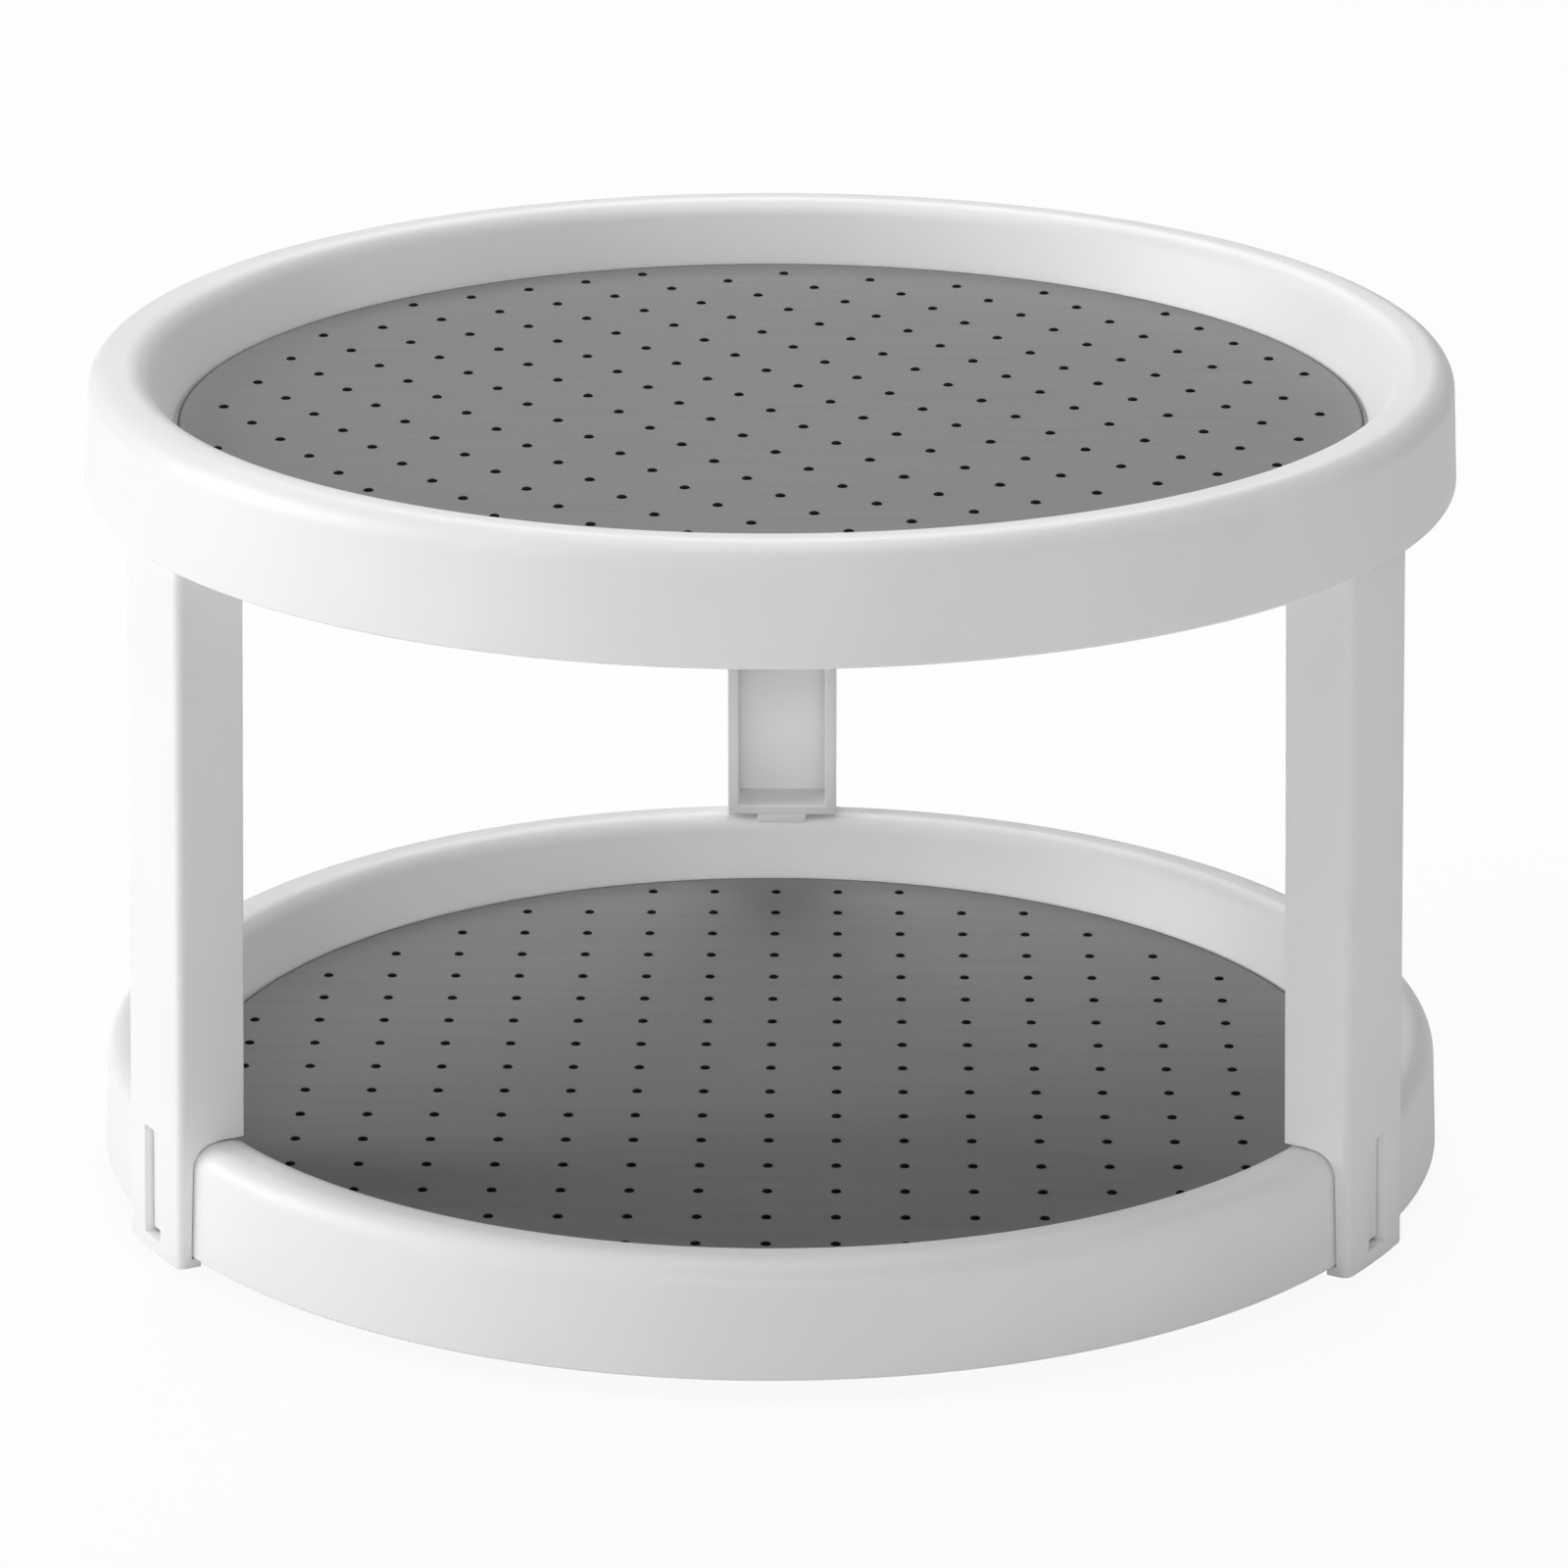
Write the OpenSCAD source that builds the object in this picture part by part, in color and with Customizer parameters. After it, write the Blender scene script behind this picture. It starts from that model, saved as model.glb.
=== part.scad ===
// Two-tier lazy susan turntable: two moulded trays on three channel-section legs, each tray lined
// with a dotted grip mat, all turning on a ball race over a flat base plate with rubber feet.
// Millimetres. +Z is up along the spin axis, and z = 0 is the table under the feet.
// The rear leg stands at +Y; the open front is towards -Y.

/* [Trays] */
// Diameter of a tray at the edge of its skirt
tray_d = 304; // [290:1:330]
// How much the rim narrows, on radius, from the skirt edge up to the shoulder
rim_draft = 1.2; // [0.4:0.2:2]
// Height of the rim from the skirt edge to the crown
rim_h = 25.9; // [24:0.1:30]
// Width of the crown between the lip and the shoulder, corner to corner
crown_w = 11.9; // [11.5:0.1:14]
// Rounding of the outer shoulder
shoulder_round = 5.6; // [3:0.1:6]
// Rounding of the inner lip
lip_round = 6.2; // [2.4:0.1:6.8]
// How far the bowl's wall leans outwards between the floor and the lip
bowl_lean = 7.1; // [5:0.1:8]
// Height of a tray's floor above its skirt edge
floor_h = 10.6; // [10.2:0.1:12]
// Thickness of the tray's walls
tray_wall = 2.4; // [2:0.1:2.8]
// Thickness of the tray's floor
floor_t = 2.4; // [2:0.1:2.8]
// Distance from the lower tray up to the upper one
tier_pitch = 156.2; // [120:1:200]
// Gap between the lower skirt edge and the table
skirt_clear = 5; // [4.6:0.2:7]

/* [Mats] */
// Thickness of a grip mat
mat_t = 1.5; // [1:0.1:2]
// Gap between the mat's edge and the bowl's wall
mat_gap = 0.3; // [0.2:0.1:1]
// Distance from one grip dot to the next
dot_pitch = 15.1; // [14:0.1:20]
// Diameter of a grip dot
dot_d = 2.3; // [1.8:0.1:3]
// Height of a grip dot above the mat
dot_h = 0.5; // [0.3:0.1:1]
// Plain border outside the last grip dots
mat_border = 5.5; // [4:0.5:12]
// How far the upper mat is turned in its tray
upper_mat_turn = 29.4; // [0:0.1:90]
// How far the lower mat is turned in its tray
lower_mat_turn = 0.5; // [0:0.1:90]

/* [Legs] */
// Width of a leg
leg_w = 26.7; // [25:0.1:32]
// Depth of a leg, from its open inner side to its outer face
leg_depth = 16.2; // [15.6:0.1:17.6]
// How far a leg's outer face stands out from the lower skirt edge
leg_proud = 3.2; // [3:0.1:4]
// How far a leg leans in from one tray to the next
leg_lean = 3.7; // [2.6:0.1:4]
// Radius of the curve of a leg's outer face across its width
leg_face_curve = 150; // [100:5:300]
// Thickness of a leg's outer wall at its middle
leg_face_t = 3.4; // [2.8:0.1:3.6]
// Thickness of a leg's two side walls
leg_side_t = 2.7; // [2:0.1:3.2]
// Thickness of the leg's bottom wall and head
leg_end_t = 2.1; // [1.8:0.1:3]
// Rounding of a leg's outer corners
leg_round = 1.8; // [0.8:0.1:2.4]
// Height of the leg's bottom wall above the crown that carries it
seat_gap = 0.7; // [0.5:0.1:2]
// Width of the tab that seats a leg on the crown
seat_w = 12; // [8:0.5:16]
// How far a leg reaches below the skirt edge
foot_drop = 2.3; // [1.8:0.1:2.6]
// How far the hook at a leg's foot reaches in under the skirt edge
hook_reach = 2; // [1:0.1:2.2]
// Width of the slot at a leg's foot
slot_w = 7.6; // [4:0.1:10]
// Depth of the slot, from a leg's outer face to the face of the rim's catch that stands in it
slot_depth = 2; // [1.6:0.1:2.2]
// Height of the slot's lower end above the leg's foot
slot_sill = 3.3; // [1:0.1:8]
// Clearance between a leg and the lower rim
rim_gap = 0.4; // [0.3:0.1:0.8]
// Height of the plug on a leg's head
plug_h = 12; // [8:0.5:14]
// Width of the plug on a leg's head
plug_w = 20; // [14:0.5:22]
// Wall thickness of the plug
plug_wall = 2; // [1.6:0.1:2.4]
// Clearance round the plug in its socket
plug_gap = 0.25; // [0.15:0.05:0.4]

/* [Base] */
// Diameter of the base plate
base_d = 240; // [226:1:250]
// Thickness of the base plate
base_t = 2.2; // [2:0.1:2.6]
// Height of the base plate's rolled edge above the plate
edge_h = 3.8; // [2:0.1:4.4]
// Thickness of the ribs and of the rolled edge
rib_t = 2; // [1.4:0.1:2.6]
// Height of the base plate's ribs
base_rib_h = 2.3; // [1.5:0.1:3]
// Height of the lower tray's ribs
tray_rib_h = 3; // [2:0.1:3.4]
// Diameter of a rubber foot
foot_d = 14; // [10:0.5:16]
// Height of a rubber foot
foot_h = 1.6; // [1.4:0.1:1.8]
// How far a foot stands out below the base plate
foot_proud = 1; // [0.8:0.1:1.2]
// Distance of a foot's centre from the edge of the base plate
foot_inset = 14; // [12:0.5:18]

/* [Bearing] */
// Radius of the ball race
race_r = 92; // [85:0.5:95]
// Width of the rings that hold the race's grooves
race_w = 10; // [9:0.5:12]
// Diameter of a ball
ball_d = 6; // [5:0.25:6.5]
// Running gap between a ball and the bottom of its groove
ball_gap = 0.15; // [0.1:0.05:0.3]
// How much wider a groove's radius is than the ball's
groove_ease = 0.3; // [0.2:0.05:0.6]
// Open height between the two race rings
race_open = 3.6; // [3:0.1:4]
// Thickness of the ball cage
cage_t = 1.6; // [1.2:0.1:2]
// Width of the ball cage
cage_w = 12; // [10:0.5:14]
// Clearance of a ball in its pocket
pocket_gap = 0.15; // [0.1:0.05:0.3]

/* [Pivot] */
// Diameter of the pivot boss under the lower tray
boss_d = 16; // [14:0.5:18]
// Radial running clearance of the boss in the base's hub
boss_gap = 0.08; // [0.05:0.01:0.1]
// Wall thickness of the base's hub
hub_wall = 2.4; // [2:0.1:3]
// Clearance between the hub's top and the tray
hub_top_gap = 1.7; // [1:0.1:2.4]
// Diameter of the retaining washer
washer_d = 24; // [22:0.5:26]
// Thickness of the retaining washer
washer_t = 1.2; // [1:0.1:1.4]
// Running gap between the washer and the base
washer_gap = 0.3; // [0.2:0.05:0.5]
// Diameter of the pivot screw's shank
screw_d = 4; // [3:0.5:5]
// Length of the pivot screw below its head
screw_len = 8.2; // [7:0.1:8.6]
// Diameter of the pivot screw's head
screw_head_d = 7.6; // [7:0.1:9]
// Height of the pivot screw's head
screw_head_h = 1.8; // [1.5:0.1:1.9]
// Height of the screw's head above the table
screw_clear = 1.7; // [1.2:0.1:2]

/* [Hidden] */
$fn = 96;
eps = 0.01;
arc_steps = 8;
white = "#f3f3f1";
mat_grey = "#8e9089";
rubber_grey = "#3c3d3c";
steel = "#b9bcc0";

// Radii of the tray section
tray_r = tray_d / 2;
shoulder_r = tray_r - rim_draft;
lip_r = shoulder_r - crown_w;
bowl_r = lip_r - bowl_lean;
// Slant of the bowl's wall, and the radius of its two faces at a height above the skirt edge
bowl_slope = bowl_lean / (rim_h - floor_h);
bowl_wall_w = tray_wall * sqrt(1 + bowl_slope * bowl_slope);
function bowl_at(z) = bowl_r + bowl_slope * (z - floor_h);
function skirt_at(z) = tray_r - rim_draft * z / rim_h;
skirt_edge_round = 0.7;
floor_round = 0.8;
hollow_round = 0.6;

// Heights of the two tiers, at the skirt edge
lower_z = skirt_clear;
upper_z = skirt_clear + tier_pitch;
under_floor_z = lower_z + floor_h - floor_t;

// Mats
mat_r = bowl_r - mat_gap;
dot_field_r = mat_r - mat_border;
dot_span = ceil(dot_field_r / dot_pitch);
dot_sunk = 0.3;

// Legs
leg_names = ["leg_rear", "leg_front_left", "leg_front_right"];
leg_turns = [90, 210, 330];
leg_face_r = tray_r + leg_proud;
leg_angle = atan(leg_lean / tier_pitch);
leg_over = 12;
leg_inner_round = 1;
catch_gap = 0.25;
catch_end_gap = 1;
seat_z = lower_z + rim_h;
leg_floor_z = seat_z + seat_gap;
hook_gap = 0.1;
foot_z = lower_z - foot_drop;
sill_z = foot_z + slot_sill;
plug_step = 4;
plug_r = bowl_at(plug_h) + bowl_wall_w + plug_step;
pocket_inset = 1;
socket_rib_t = 2;
rib_lift = 0.6;

// Base
base_z = foot_proud;
base_top_z = base_z + base_t;
foot_r = base_d / 2 - foot_inset;
foot_chamfer = 0.5;
foot_count = 6;
rib_count = 6;
tray_rib_count = 12;

// Bearing
ball_count = 12;
ball_z = (base_top_z + under_floor_z) / 2;
groove_r = ball_d / 2 + groove_ease;
groove_rise = groove_r - ball_d / 2 - ball_gap;

// Pivot
web_z = screw_clear + screw_head_h + washer_t + washer_gap;
web_t = 2.2;
hub_r = boss_d / 2 + boss_gap;
hub_top_z = under_floor_z - hub_top_gap;
washer_side_gap = 2.4;
well_r = washer_d / 2 + washer_side_gap;
boss_end_z = web_z - washer_gap;
screw_gap = 0.05;
washer_bore_gap = 0.15;
pilot_spare = 0.6;
drive_w = 1.1;
drive_l = 4.4;
drive_h = 0.9;

// ---- Outlines -------------------------------------------------------------------------------

function unit(v) = v / norm(v);

// One corner b of an outline, between its neighbours a and c, as an arc of radius r
function corner(a, b, c, r) =
    r <= 0 ? [b] :
    let (u = unit(a - b),
         w = unit(c - b),
         half = acos(u * w) / 2,
         centre = b + unit(u + w) * r / sin(half),
         p = b + u * r / tan(half) - centre,
         q = b + w * r / tan(half) - centre,
         start = atan2(p.y, p.x),
         turn = atan2(q.y, q.x) - start,
         sweep = turn > 180 ? turn - 360 : turn < -180 ? turn + 360 : turn)
    [for (i = [0:arc_steps]) centre + r * [cos(start + sweep * i / arc_steps), sin(start + sweep * i / arc_steps)]];

// An outline given as rows of [x, y, corner radius]
function rounded(rows) =
    let (n = len(rows), p = [for (row = rows) [row.x, row.y]])
    [for (i = [0:n - 1]) each corner(p[(i + n - 1) % n], p[i], p[(i + 1) % n], rows[i][2])];

// Half section of a tray, from the axis out, with its skirt edge at height 0
module tray_section() {
    top = rim_h - tray_wall;
    polygon(rounded([
        [0, floor_h - floor_t, 0],
        [bowl_at(floor_h - floor_t) + bowl_wall_w, floor_h - floor_t, floor_round],
        [bowl_at(top) + bowl_wall_w, top, max(hollow_round, lip_round - tray_wall)],
        [skirt_at(top) - tray_wall, top, max(hollow_round, shoulder_round - tray_wall)],
        [tray_r - tray_wall, 0, skirt_edge_round],
        [tray_r, 0, skirt_edge_round],
        [shoulder_r, rim_h, shoulder_round],
        [lip_r, rim_h, lip_round],
        [bowl_r, floor_h, floor_round],
        [0, floor_h, 0]
    ]));
}

// Half section of all that lies between the faces of the rim, to trim what is built inside it
module rim_core_section() {
    half = tray_wall / 2;
    polygon(rounded([
        [bowl_r - half, rib_lift, 0],
        [skirt_at(rib_lift) - half, rib_lift, 0],
        [skirt_at(rim_h - half) - half, rim_h - half, max(0, shoulder_round - half)],
        [bowl_at(rim_h - half) + half, rim_h - half, max(0, lip_round - half)],
        [bowl_at(floor_h - half) + half, floor_h - half, 0],
        [bowl_r - half, floor_h - half, 0]
    ]));
}

// ---- Trays ----------------------------------------------------------------------------------

// Two ribs that hold the plug of one leg between them
module leg_socket() {
    for (side = [-1, 1])
        intersection() {
            rotate_extrude() rim_core_section();
            translate([0, side * (plug_w / 2 + plug_gap + socket_rib_t / 2) - socket_rib_t / 2, 0])
                cube([tray_r, socket_rib_t, rim_h]);
        }
}

module upper_tray() {
    color(white)
        translate([0, 0, upper_z]) {
            rotate_extrude() tray_section();
            for (turn = leg_turns)
                rotate([0, 0, turn]) leg_socket();
        }
}

// Ring with the groove that the balls run in, from z0 to z1, with the groove's middle at centre_z
module race_ring(z0, z1, centre_z) {
    difference() {
        translate([0, 0, z0])
            difference() {
                cylinder(r = race_r + race_w / 2, h = z1 - z0);
                translate([0, 0, -eps])
                    cylinder(r = race_r - race_w / 2, h = z1 - z0 + 2 * eps);
            }
        translate([0, 0, centre_z])
            rotate_extrude() translate([race_r, 0]) circle(r = groove_r);
    }
}

// Radial ribs from radius r0 to r1, standing from z0 to z1
module ribs(count, r0, r1, z0, z1, thick) {
    for (i = [0:count - 1])
        rotate([0, 0, (i + 0.5) * 360 / count])
            translate([r0, -thick / 2, z0])
                cube([r1 - r0, thick, z1 - z0]);
}

// Catch on the lower rim that stands in the slot of one leg and locks it
module leg_catch() {
    difference() {
        intersection() {
            leaning(2 * leg_over + rim_h) catch_plan();
            slice(max(sill_z + catch_end_gap, lower_z + rib_lift), leg_floor_z - catch_end_gap);
        }
        translate([0, 0, lower_z])
            rotate_extrude() rim_core_section();
    }
}

module lower_tray() {
    ring_z = ball_z + race_open / 2;
    rib_z = under_floor_z - tray_rib_h;
    color(white)
        difference() {
            union() {
                translate([0, 0, lower_z])
                    rotate_extrude() tray_section();
                race_ring(ring_z, under_floor_z + eps, ball_z - groove_rise);
                ribs(tray_rib_count, well_r, race_r - race_w / 2 + eps, rib_z, under_floor_z + eps, rib_t);
                ribs(tray_rib_count, race_r + race_w / 2 - eps, bowl_r - tray_wall, rib_z, under_floor_z + eps, rib_t);
                translate([0, 0, boss_end_z])
                    cylinder(d = boss_d, h = under_floor_z - boss_end_z + eps);
                for (turn = leg_turns)
                    rotate([0, 0, turn]) leg_catch();
            }
            translate([0, 0, boss_end_z - eps])
                cylinder(d = screw_d + 2 * screw_gap, h = screw_len - washer_t + pilot_spare);
        }
}

// ---- Mats -----------------------------------------------------------------------------------

// A round mat with a square grid of raised dots, one of them at its centre
module mat(turn, z) {
    color(mat_grey)
        translate([0, 0, z])
            rotate([0, 0, turn]) {
                cylinder(r = mat_r, h = mat_t);
                for (i = [-dot_span:dot_span], j = [-dot_span:dot_span])
                    if (norm([i, j]) * dot_pitch < dot_field_r)
                        translate([i * dot_pitch, j * dot_pitch, mat_t - dot_sunk])
                            cylinder(d = dot_d, h = dot_sunk + dot_h);
            }
}

module upper_mat() {
    mat(upper_mat_turn, upper_z + floor_h);
}

module lower_mat() {
    mat(lower_mat_turn, lower_z + floor_h);
}

// ---- Legs -----------------------------------------------------------------------------------

// The disc whose edge is the curve of a leg's outer face, with the face's middle on x = 0
module face_curve() {
    translate([-leg_face_curve, 0]) circle(r = leg_face_curve);
}

// Plan of the channel: its open side faces the axis
module channel_plan() {
    half = leg_w / 2;
    inner = half - leg_side_t;
    intersection() {
        polygon(rounded([
            [0, -half, leg_round],
            [0, half, leg_round],
            [-leg_depth, half, leg_inner_round],
            [-leg_depth, inner, leg_inner_round],
            [-leg_face_t, inner, leg_inner_round],
            [-leg_face_t, -inner, leg_inner_round],
            [-leg_depth, -inner, leg_inner_round],
            [-leg_depth, -half, leg_inner_round]
        ]));
        face_curve();
    }
}

// The same plan without the channel
module block_plan() {
    half = leg_w / 2;
    intersection() {
        polygon(rounded([
            [0, -half, leg_round],
            [0, half, leg_round],
            [-leg_depth, half, leg_inner_round],
            [-leg_depth, -half, leg_inner_round]
        ]));
        face_curve();
    }
}

// Plan of the catch that stands in the slot, from its face back to the crown
module catch_plan() {
    half = slot_w / 2 - catch_gap;
    depth = leg_proud + shoulder_round;
    translate([-depth, -half])
        square([depth - slot_depth, 2 * half]);
}

// Stands a plan up as a long bar that leans in as a leg does
module leaning(length) {
    translate([leg_face_r, 0, lower_z])
        rotate([0, -leg_angle, 0])
            translate([0, 0, -leg_over])
                linear_extrude(height = length) children();
}

// Everything between two heights
module slice(z0, z1) {
    reach = 2 * tray_d;
    translate([-reach / 2, -reach / 2, z0])
        cube([reach, reach, z1 - z0]);
}

// The space that a leg leaves for the lower rim, with its clearances
module rim_space() {
    translate([0, 0, lower_z])
        rotate_extrude()
            polygon(rounded([
                [bowl_r - leg_depth, -hook_gap, 0],
                [tray_r + rim_gap, -hook_gap, skirt_edge_round],
                [shoulder_r + rim_gap, rim_h + seat_gap, shoulder_round],
                [bowl_r - leg_depth, rim_h + seat_gap, 0]
            ]));
}

// Tab under the leg's bottom wall, which stands on the crown and laps over the lip's rounding
module leg_seat(column) {
    difference() {
        intersection() {
            leaning(column) block_plan();
            translate([0, -seat_w / 2, seat_z - lip_round])
                cube([shoulder_r - shoulder_round, seat_w, lip_round + seat_gap + eps]);
        }
        translate([0, 0, lower_z])
            rotate_extrude()
                polygon(rounded([
                    [bowl_r, floor_h, 0],
                    [tray_r, floor_h, 0],
                    [tray_r, rim_h, 0],
                    [lip_r, rim_h, lip_round]
                ]));
    }
}

// Hollow plug that fits between the two ribs of a socket
module leg_plug() {
    outer_low = tray_r - tray_wall - plug_gap;
    outer_high = skirt_at(plug_h) - tray_wall - plug_gap;
    translate([0, 0, upper_z - eps])
        difference() {
            intersection() {
                rotate_extrude()
                    polygon([
                        [plug_r, 0],
                        [outer_low, 0],
                        [outer_high, plug_h],
                        [plug_r, plug_h]
                    ]);
                translate([0, -plug_w / 2, 0])
                    cube([tray_d, plug_w, plug_h]);
            }
            translate([plug_r + plug_wall, -plug_w / 2 + plug_wall, plug_wall])
                cube([outer_high - plug_r - 2 * plug_wall - pocket_inset, plug_w - 2 * plug_wall, plug_h]);
        }
}

module leg(turn) {
    column = tier_pitch + 2 * leg_over;
    color(white)
        rotate([0, 0, turn]) {
            difference() {
                union() {
                    intersection() {
                        leaning(column) channel_plan();
                        slice(foot_z, upper_z);
                    }
                    intersection() {
                        leaning(column) block_plan();
                        union() {
                            slice(leg_floor_z, leg_floor_z + leg_end_t);
                            slice(upper_z - leg_end_t, upper_z);
                        }
                    }
                    intersection() {
                        leaning(column) block_plan();
                        slice(foot_z, lower_z);
                    }
                }
                rim_space();
                // Nothing of the leg stands under the tray but its hook
                translate([0, 0, foot_z - eps])
                    cylinder(r = tray_r - hook_reach, h = foot_drop + 2 * eps);
                // Slot through the outer wall, from the sill up to the bottom wall
                translate([tray_r - leg_depth, -slot_w / 2, sill_z])
                    cube([2 * leg_depth, slot_w, leg_floor_z - sill_z]);
            }
            leg_seat(column);
            leg_plug();
        }
}

// ---- Base and bearing -----------------------------------------------------------------------

module base_plate() {
    edge_r = base_d / 2;
    color(white)
        difference() {
            union() {
                translate([0, 0, base_z])
                    cylinder(r = edge_r, h = base_t);
                // Rolled edge
                translate([0, 0, base_z])
                    difference() {
                        cylinder(r = edge_r, h = base_t + edge_h);
                        translate([0, 0, base_t - eps])
                            cylinder(r = edge_r - rib_t, h = edge_h + 2 * eps);
                    }
                race_ring(base_top_z - eps, ball_z - race_open / 2, ball_z + groove_rise);
                ribs(rib_count, well_r, race_r - race_w / 2 + eps, base_top_z - eps,
                    base_top_z + base_rib_h, rib_t);
                ribs(rib_count, race_r + race_w / 2 - eps, edge_r - rib_t + eps, base_top_z - eps,
                    base_top_z + base_rib_h, rib_t);
                // Raised hub over the screw's well
                translate([0, 0, base_z])
                    cylinder(r = well_r + hub_wall, h = web_z + web_t - base_z);
                translate([0, 0, web_z])
                    cylinder(r = hub_r + hub_wall, h = hub_top_z - web_z);
            }
            translate([0, 0, -eps])
                cylinder(r = well_r, h = web_z + eps);
            cylinder(r = hub_r, h = hub_top_z + eps);
            for (i = [1:foot_count])
                foot_place(i)
                    cylinder(d = foot_d, h = foot_h);
        }
}

// Where foot i stands
module foot_place(i) {
    rotate([0, 0, i * 360 / foot_count])
        translate([foot_r, 0, 0])
            children();
}

module foot(i) {
    color(rubber_grey)
        foot_place(i) {
            cylinder(d1 = foot_d - 2 * foot_chamfer, d2 = foot_d, h = foot_chamfer);
            translate([0, 0, foot_chamfer])
                cylinder(d = foot_d, h = foot_h - foot_chamfer);
        }
}

// Where ball i sits
module ball_place(i) {
    rotate([0, 0, i * 360 / ball_count])
        translate([race_r, 0, ball_z])
            children();
}

module ball(i) {
    color(steel)
        ball_place(i)
            sphere(d = ball_d);
}

module ball_cage() {
    color(white)
        difference() {
            translate([0, 0, ball_z - cage_t / 2])
                difference() {
                    cylinder(r = race_r + cage_w / 2, h = cage_t);
                    translate([0, 0, -eps])
                        cylinder(r = race_r - cage_w / 2, h = cage_t + 2 * eps);
                }
            for (i = [1:ball_count])
                ball_place(i)
                    cylinder(r = ball_d / 2 + pocket_gap, h = 2 * cage_t, center = true);
        }
}

// ---- Pivot ----------------------------------------------------------------------------------

module pivot_washer() {
    color(steel)
        translate([0, 0, boss_end_z - washer_t])
            difference() {
                cylinder(d = washer_d, h = washer_t);
                translate([0, 0, -eps])
                    cylinder(d = screw_d + 2 * washer_bore_gap, h = washer_t + 2 * eps);
            }
}

module pivot_screw() {
    head_z = boss_end_z - washer_t - screw_head_h;
    crown_h = screw_head_h / 2;
    color(steel)
        difference() {
            union() {
                translate([0, 0, head_z])
                    cylinder(d1 = screw_head_d - crown_h, d2 = screw_head_d, h = crown_h);
                translate([0, 0, head_z + crown_h])
                    cylinder(d = screw_head_d, h = screw_head_h - crown_h);
                translate([0, 0, head_z + screw_head_h - eps])
                    cylinder(d = screw_d, h = screw_len + eps);
            }
            for (turn = [0, 90])
                rotate([0, 0, turn])
                    translate([-drive_l / 2, -drive_w / 2, head_z - eps])
                        cube([drive_l, drive_w, drive_h + eps]);
        }
}

// ---- Nodes ----------------------------------------------------------------------------------

upper_tray();
upper_mat();
lower_tray();
lower_mat();
for (i = [0:2]) leg(leg_turns[i]);
base_plate();
ball_cage();
for (i = [1:ball_count]) ball(i);
pivot_washer();
pivot_screw();
for (i = [1:foot_count]) foot(i);
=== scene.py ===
"""Looks of a two-tier lazy susan turntable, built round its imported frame.

Blender's side is in metres: +Z runs up the spin axis from the table, the rear leg stands at +Y and
the open front faces -Y. Heights and the radii of mats and feet come from the frame's boxes. What a
box can't tell, such as the skirt's radius, a wall or a rounding, is a named field in millimetres of
the class that builds the piece.
"""

import logging
import math
from collections.abc import Iterable, Sequence
from dataclasses import dataclass, field
from enum import Enum

import bmesh
import bpy
import numpy as np
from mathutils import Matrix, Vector


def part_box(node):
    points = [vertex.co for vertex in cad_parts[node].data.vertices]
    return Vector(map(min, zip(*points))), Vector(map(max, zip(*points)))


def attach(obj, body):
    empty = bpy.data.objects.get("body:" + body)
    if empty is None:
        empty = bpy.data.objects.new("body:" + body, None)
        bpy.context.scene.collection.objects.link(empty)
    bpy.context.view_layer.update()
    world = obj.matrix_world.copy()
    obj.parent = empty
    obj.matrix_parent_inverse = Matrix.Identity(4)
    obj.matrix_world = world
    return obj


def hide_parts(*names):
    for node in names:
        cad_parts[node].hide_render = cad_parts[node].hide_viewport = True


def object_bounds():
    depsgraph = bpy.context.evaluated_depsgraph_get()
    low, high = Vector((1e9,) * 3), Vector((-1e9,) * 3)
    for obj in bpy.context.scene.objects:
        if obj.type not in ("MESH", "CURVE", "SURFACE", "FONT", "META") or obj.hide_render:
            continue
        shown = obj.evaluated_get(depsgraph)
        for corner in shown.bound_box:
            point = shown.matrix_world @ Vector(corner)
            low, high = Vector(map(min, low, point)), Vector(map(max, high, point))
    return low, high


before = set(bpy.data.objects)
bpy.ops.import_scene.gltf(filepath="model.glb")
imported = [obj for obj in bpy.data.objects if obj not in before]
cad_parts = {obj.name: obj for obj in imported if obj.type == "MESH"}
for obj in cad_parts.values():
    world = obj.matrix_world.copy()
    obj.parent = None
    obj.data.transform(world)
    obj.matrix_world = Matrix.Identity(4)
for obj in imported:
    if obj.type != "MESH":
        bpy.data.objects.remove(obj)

MM = 0.001
CAD_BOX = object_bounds()
LEG_TURNS = {"leg_rear": 90.0, "leg_front_left": 210.0, "leg_front_right": 330.0}
log = logging.getLogger("turntable")
Tree = bpy.types.NodeTree
Node = bpy.types.Node
Socket = bpy.types.NodeSocket


class Body(Enum):
    """The rigid bodies of the frame."""

    BASE = "base"
    TURNTABLE = "turntable"
    CAGE = "cage"


class Slot(Enum):
    """The material slots of the record."""

    WHITE = "white_plastic"
    CAGE = "cage_plastic"
    MAT = "mat"
    STEEL = "steel"
    FOOT = "foot_rubber"


class Ends(Enum):
    """How a grid of points is closed across its first and last rows."""

    OPEN = "open"
    CAPPED = "capped"
    JOINED = "joined"


# ---- Frame sizes ----------------------------------------------------------------------------


@dataclass(frozen=True)
class NodeBox:
    """The box of one or more CAD nodes, in millimetres.

    Args:
        low: Lowest corner.
        high: Highest corner.
    """

    low: np.ndarray
    high: np.ndarray

    @classmethod
    def of(cls, node: str) -> "NodeBox":
        """Reads the box of a CAD node from the frame."""
        low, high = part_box(node)
        return cls(np.array(low) / MM, np.array(high) / MM)

    @property
    def radius(self) -> float:
        """Half of the larger width."""
        return float(max(self.high[:2] - self.low[:2]) / 2)


# ---- Outlines and grids ---------------------------------------------------------------------


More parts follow.
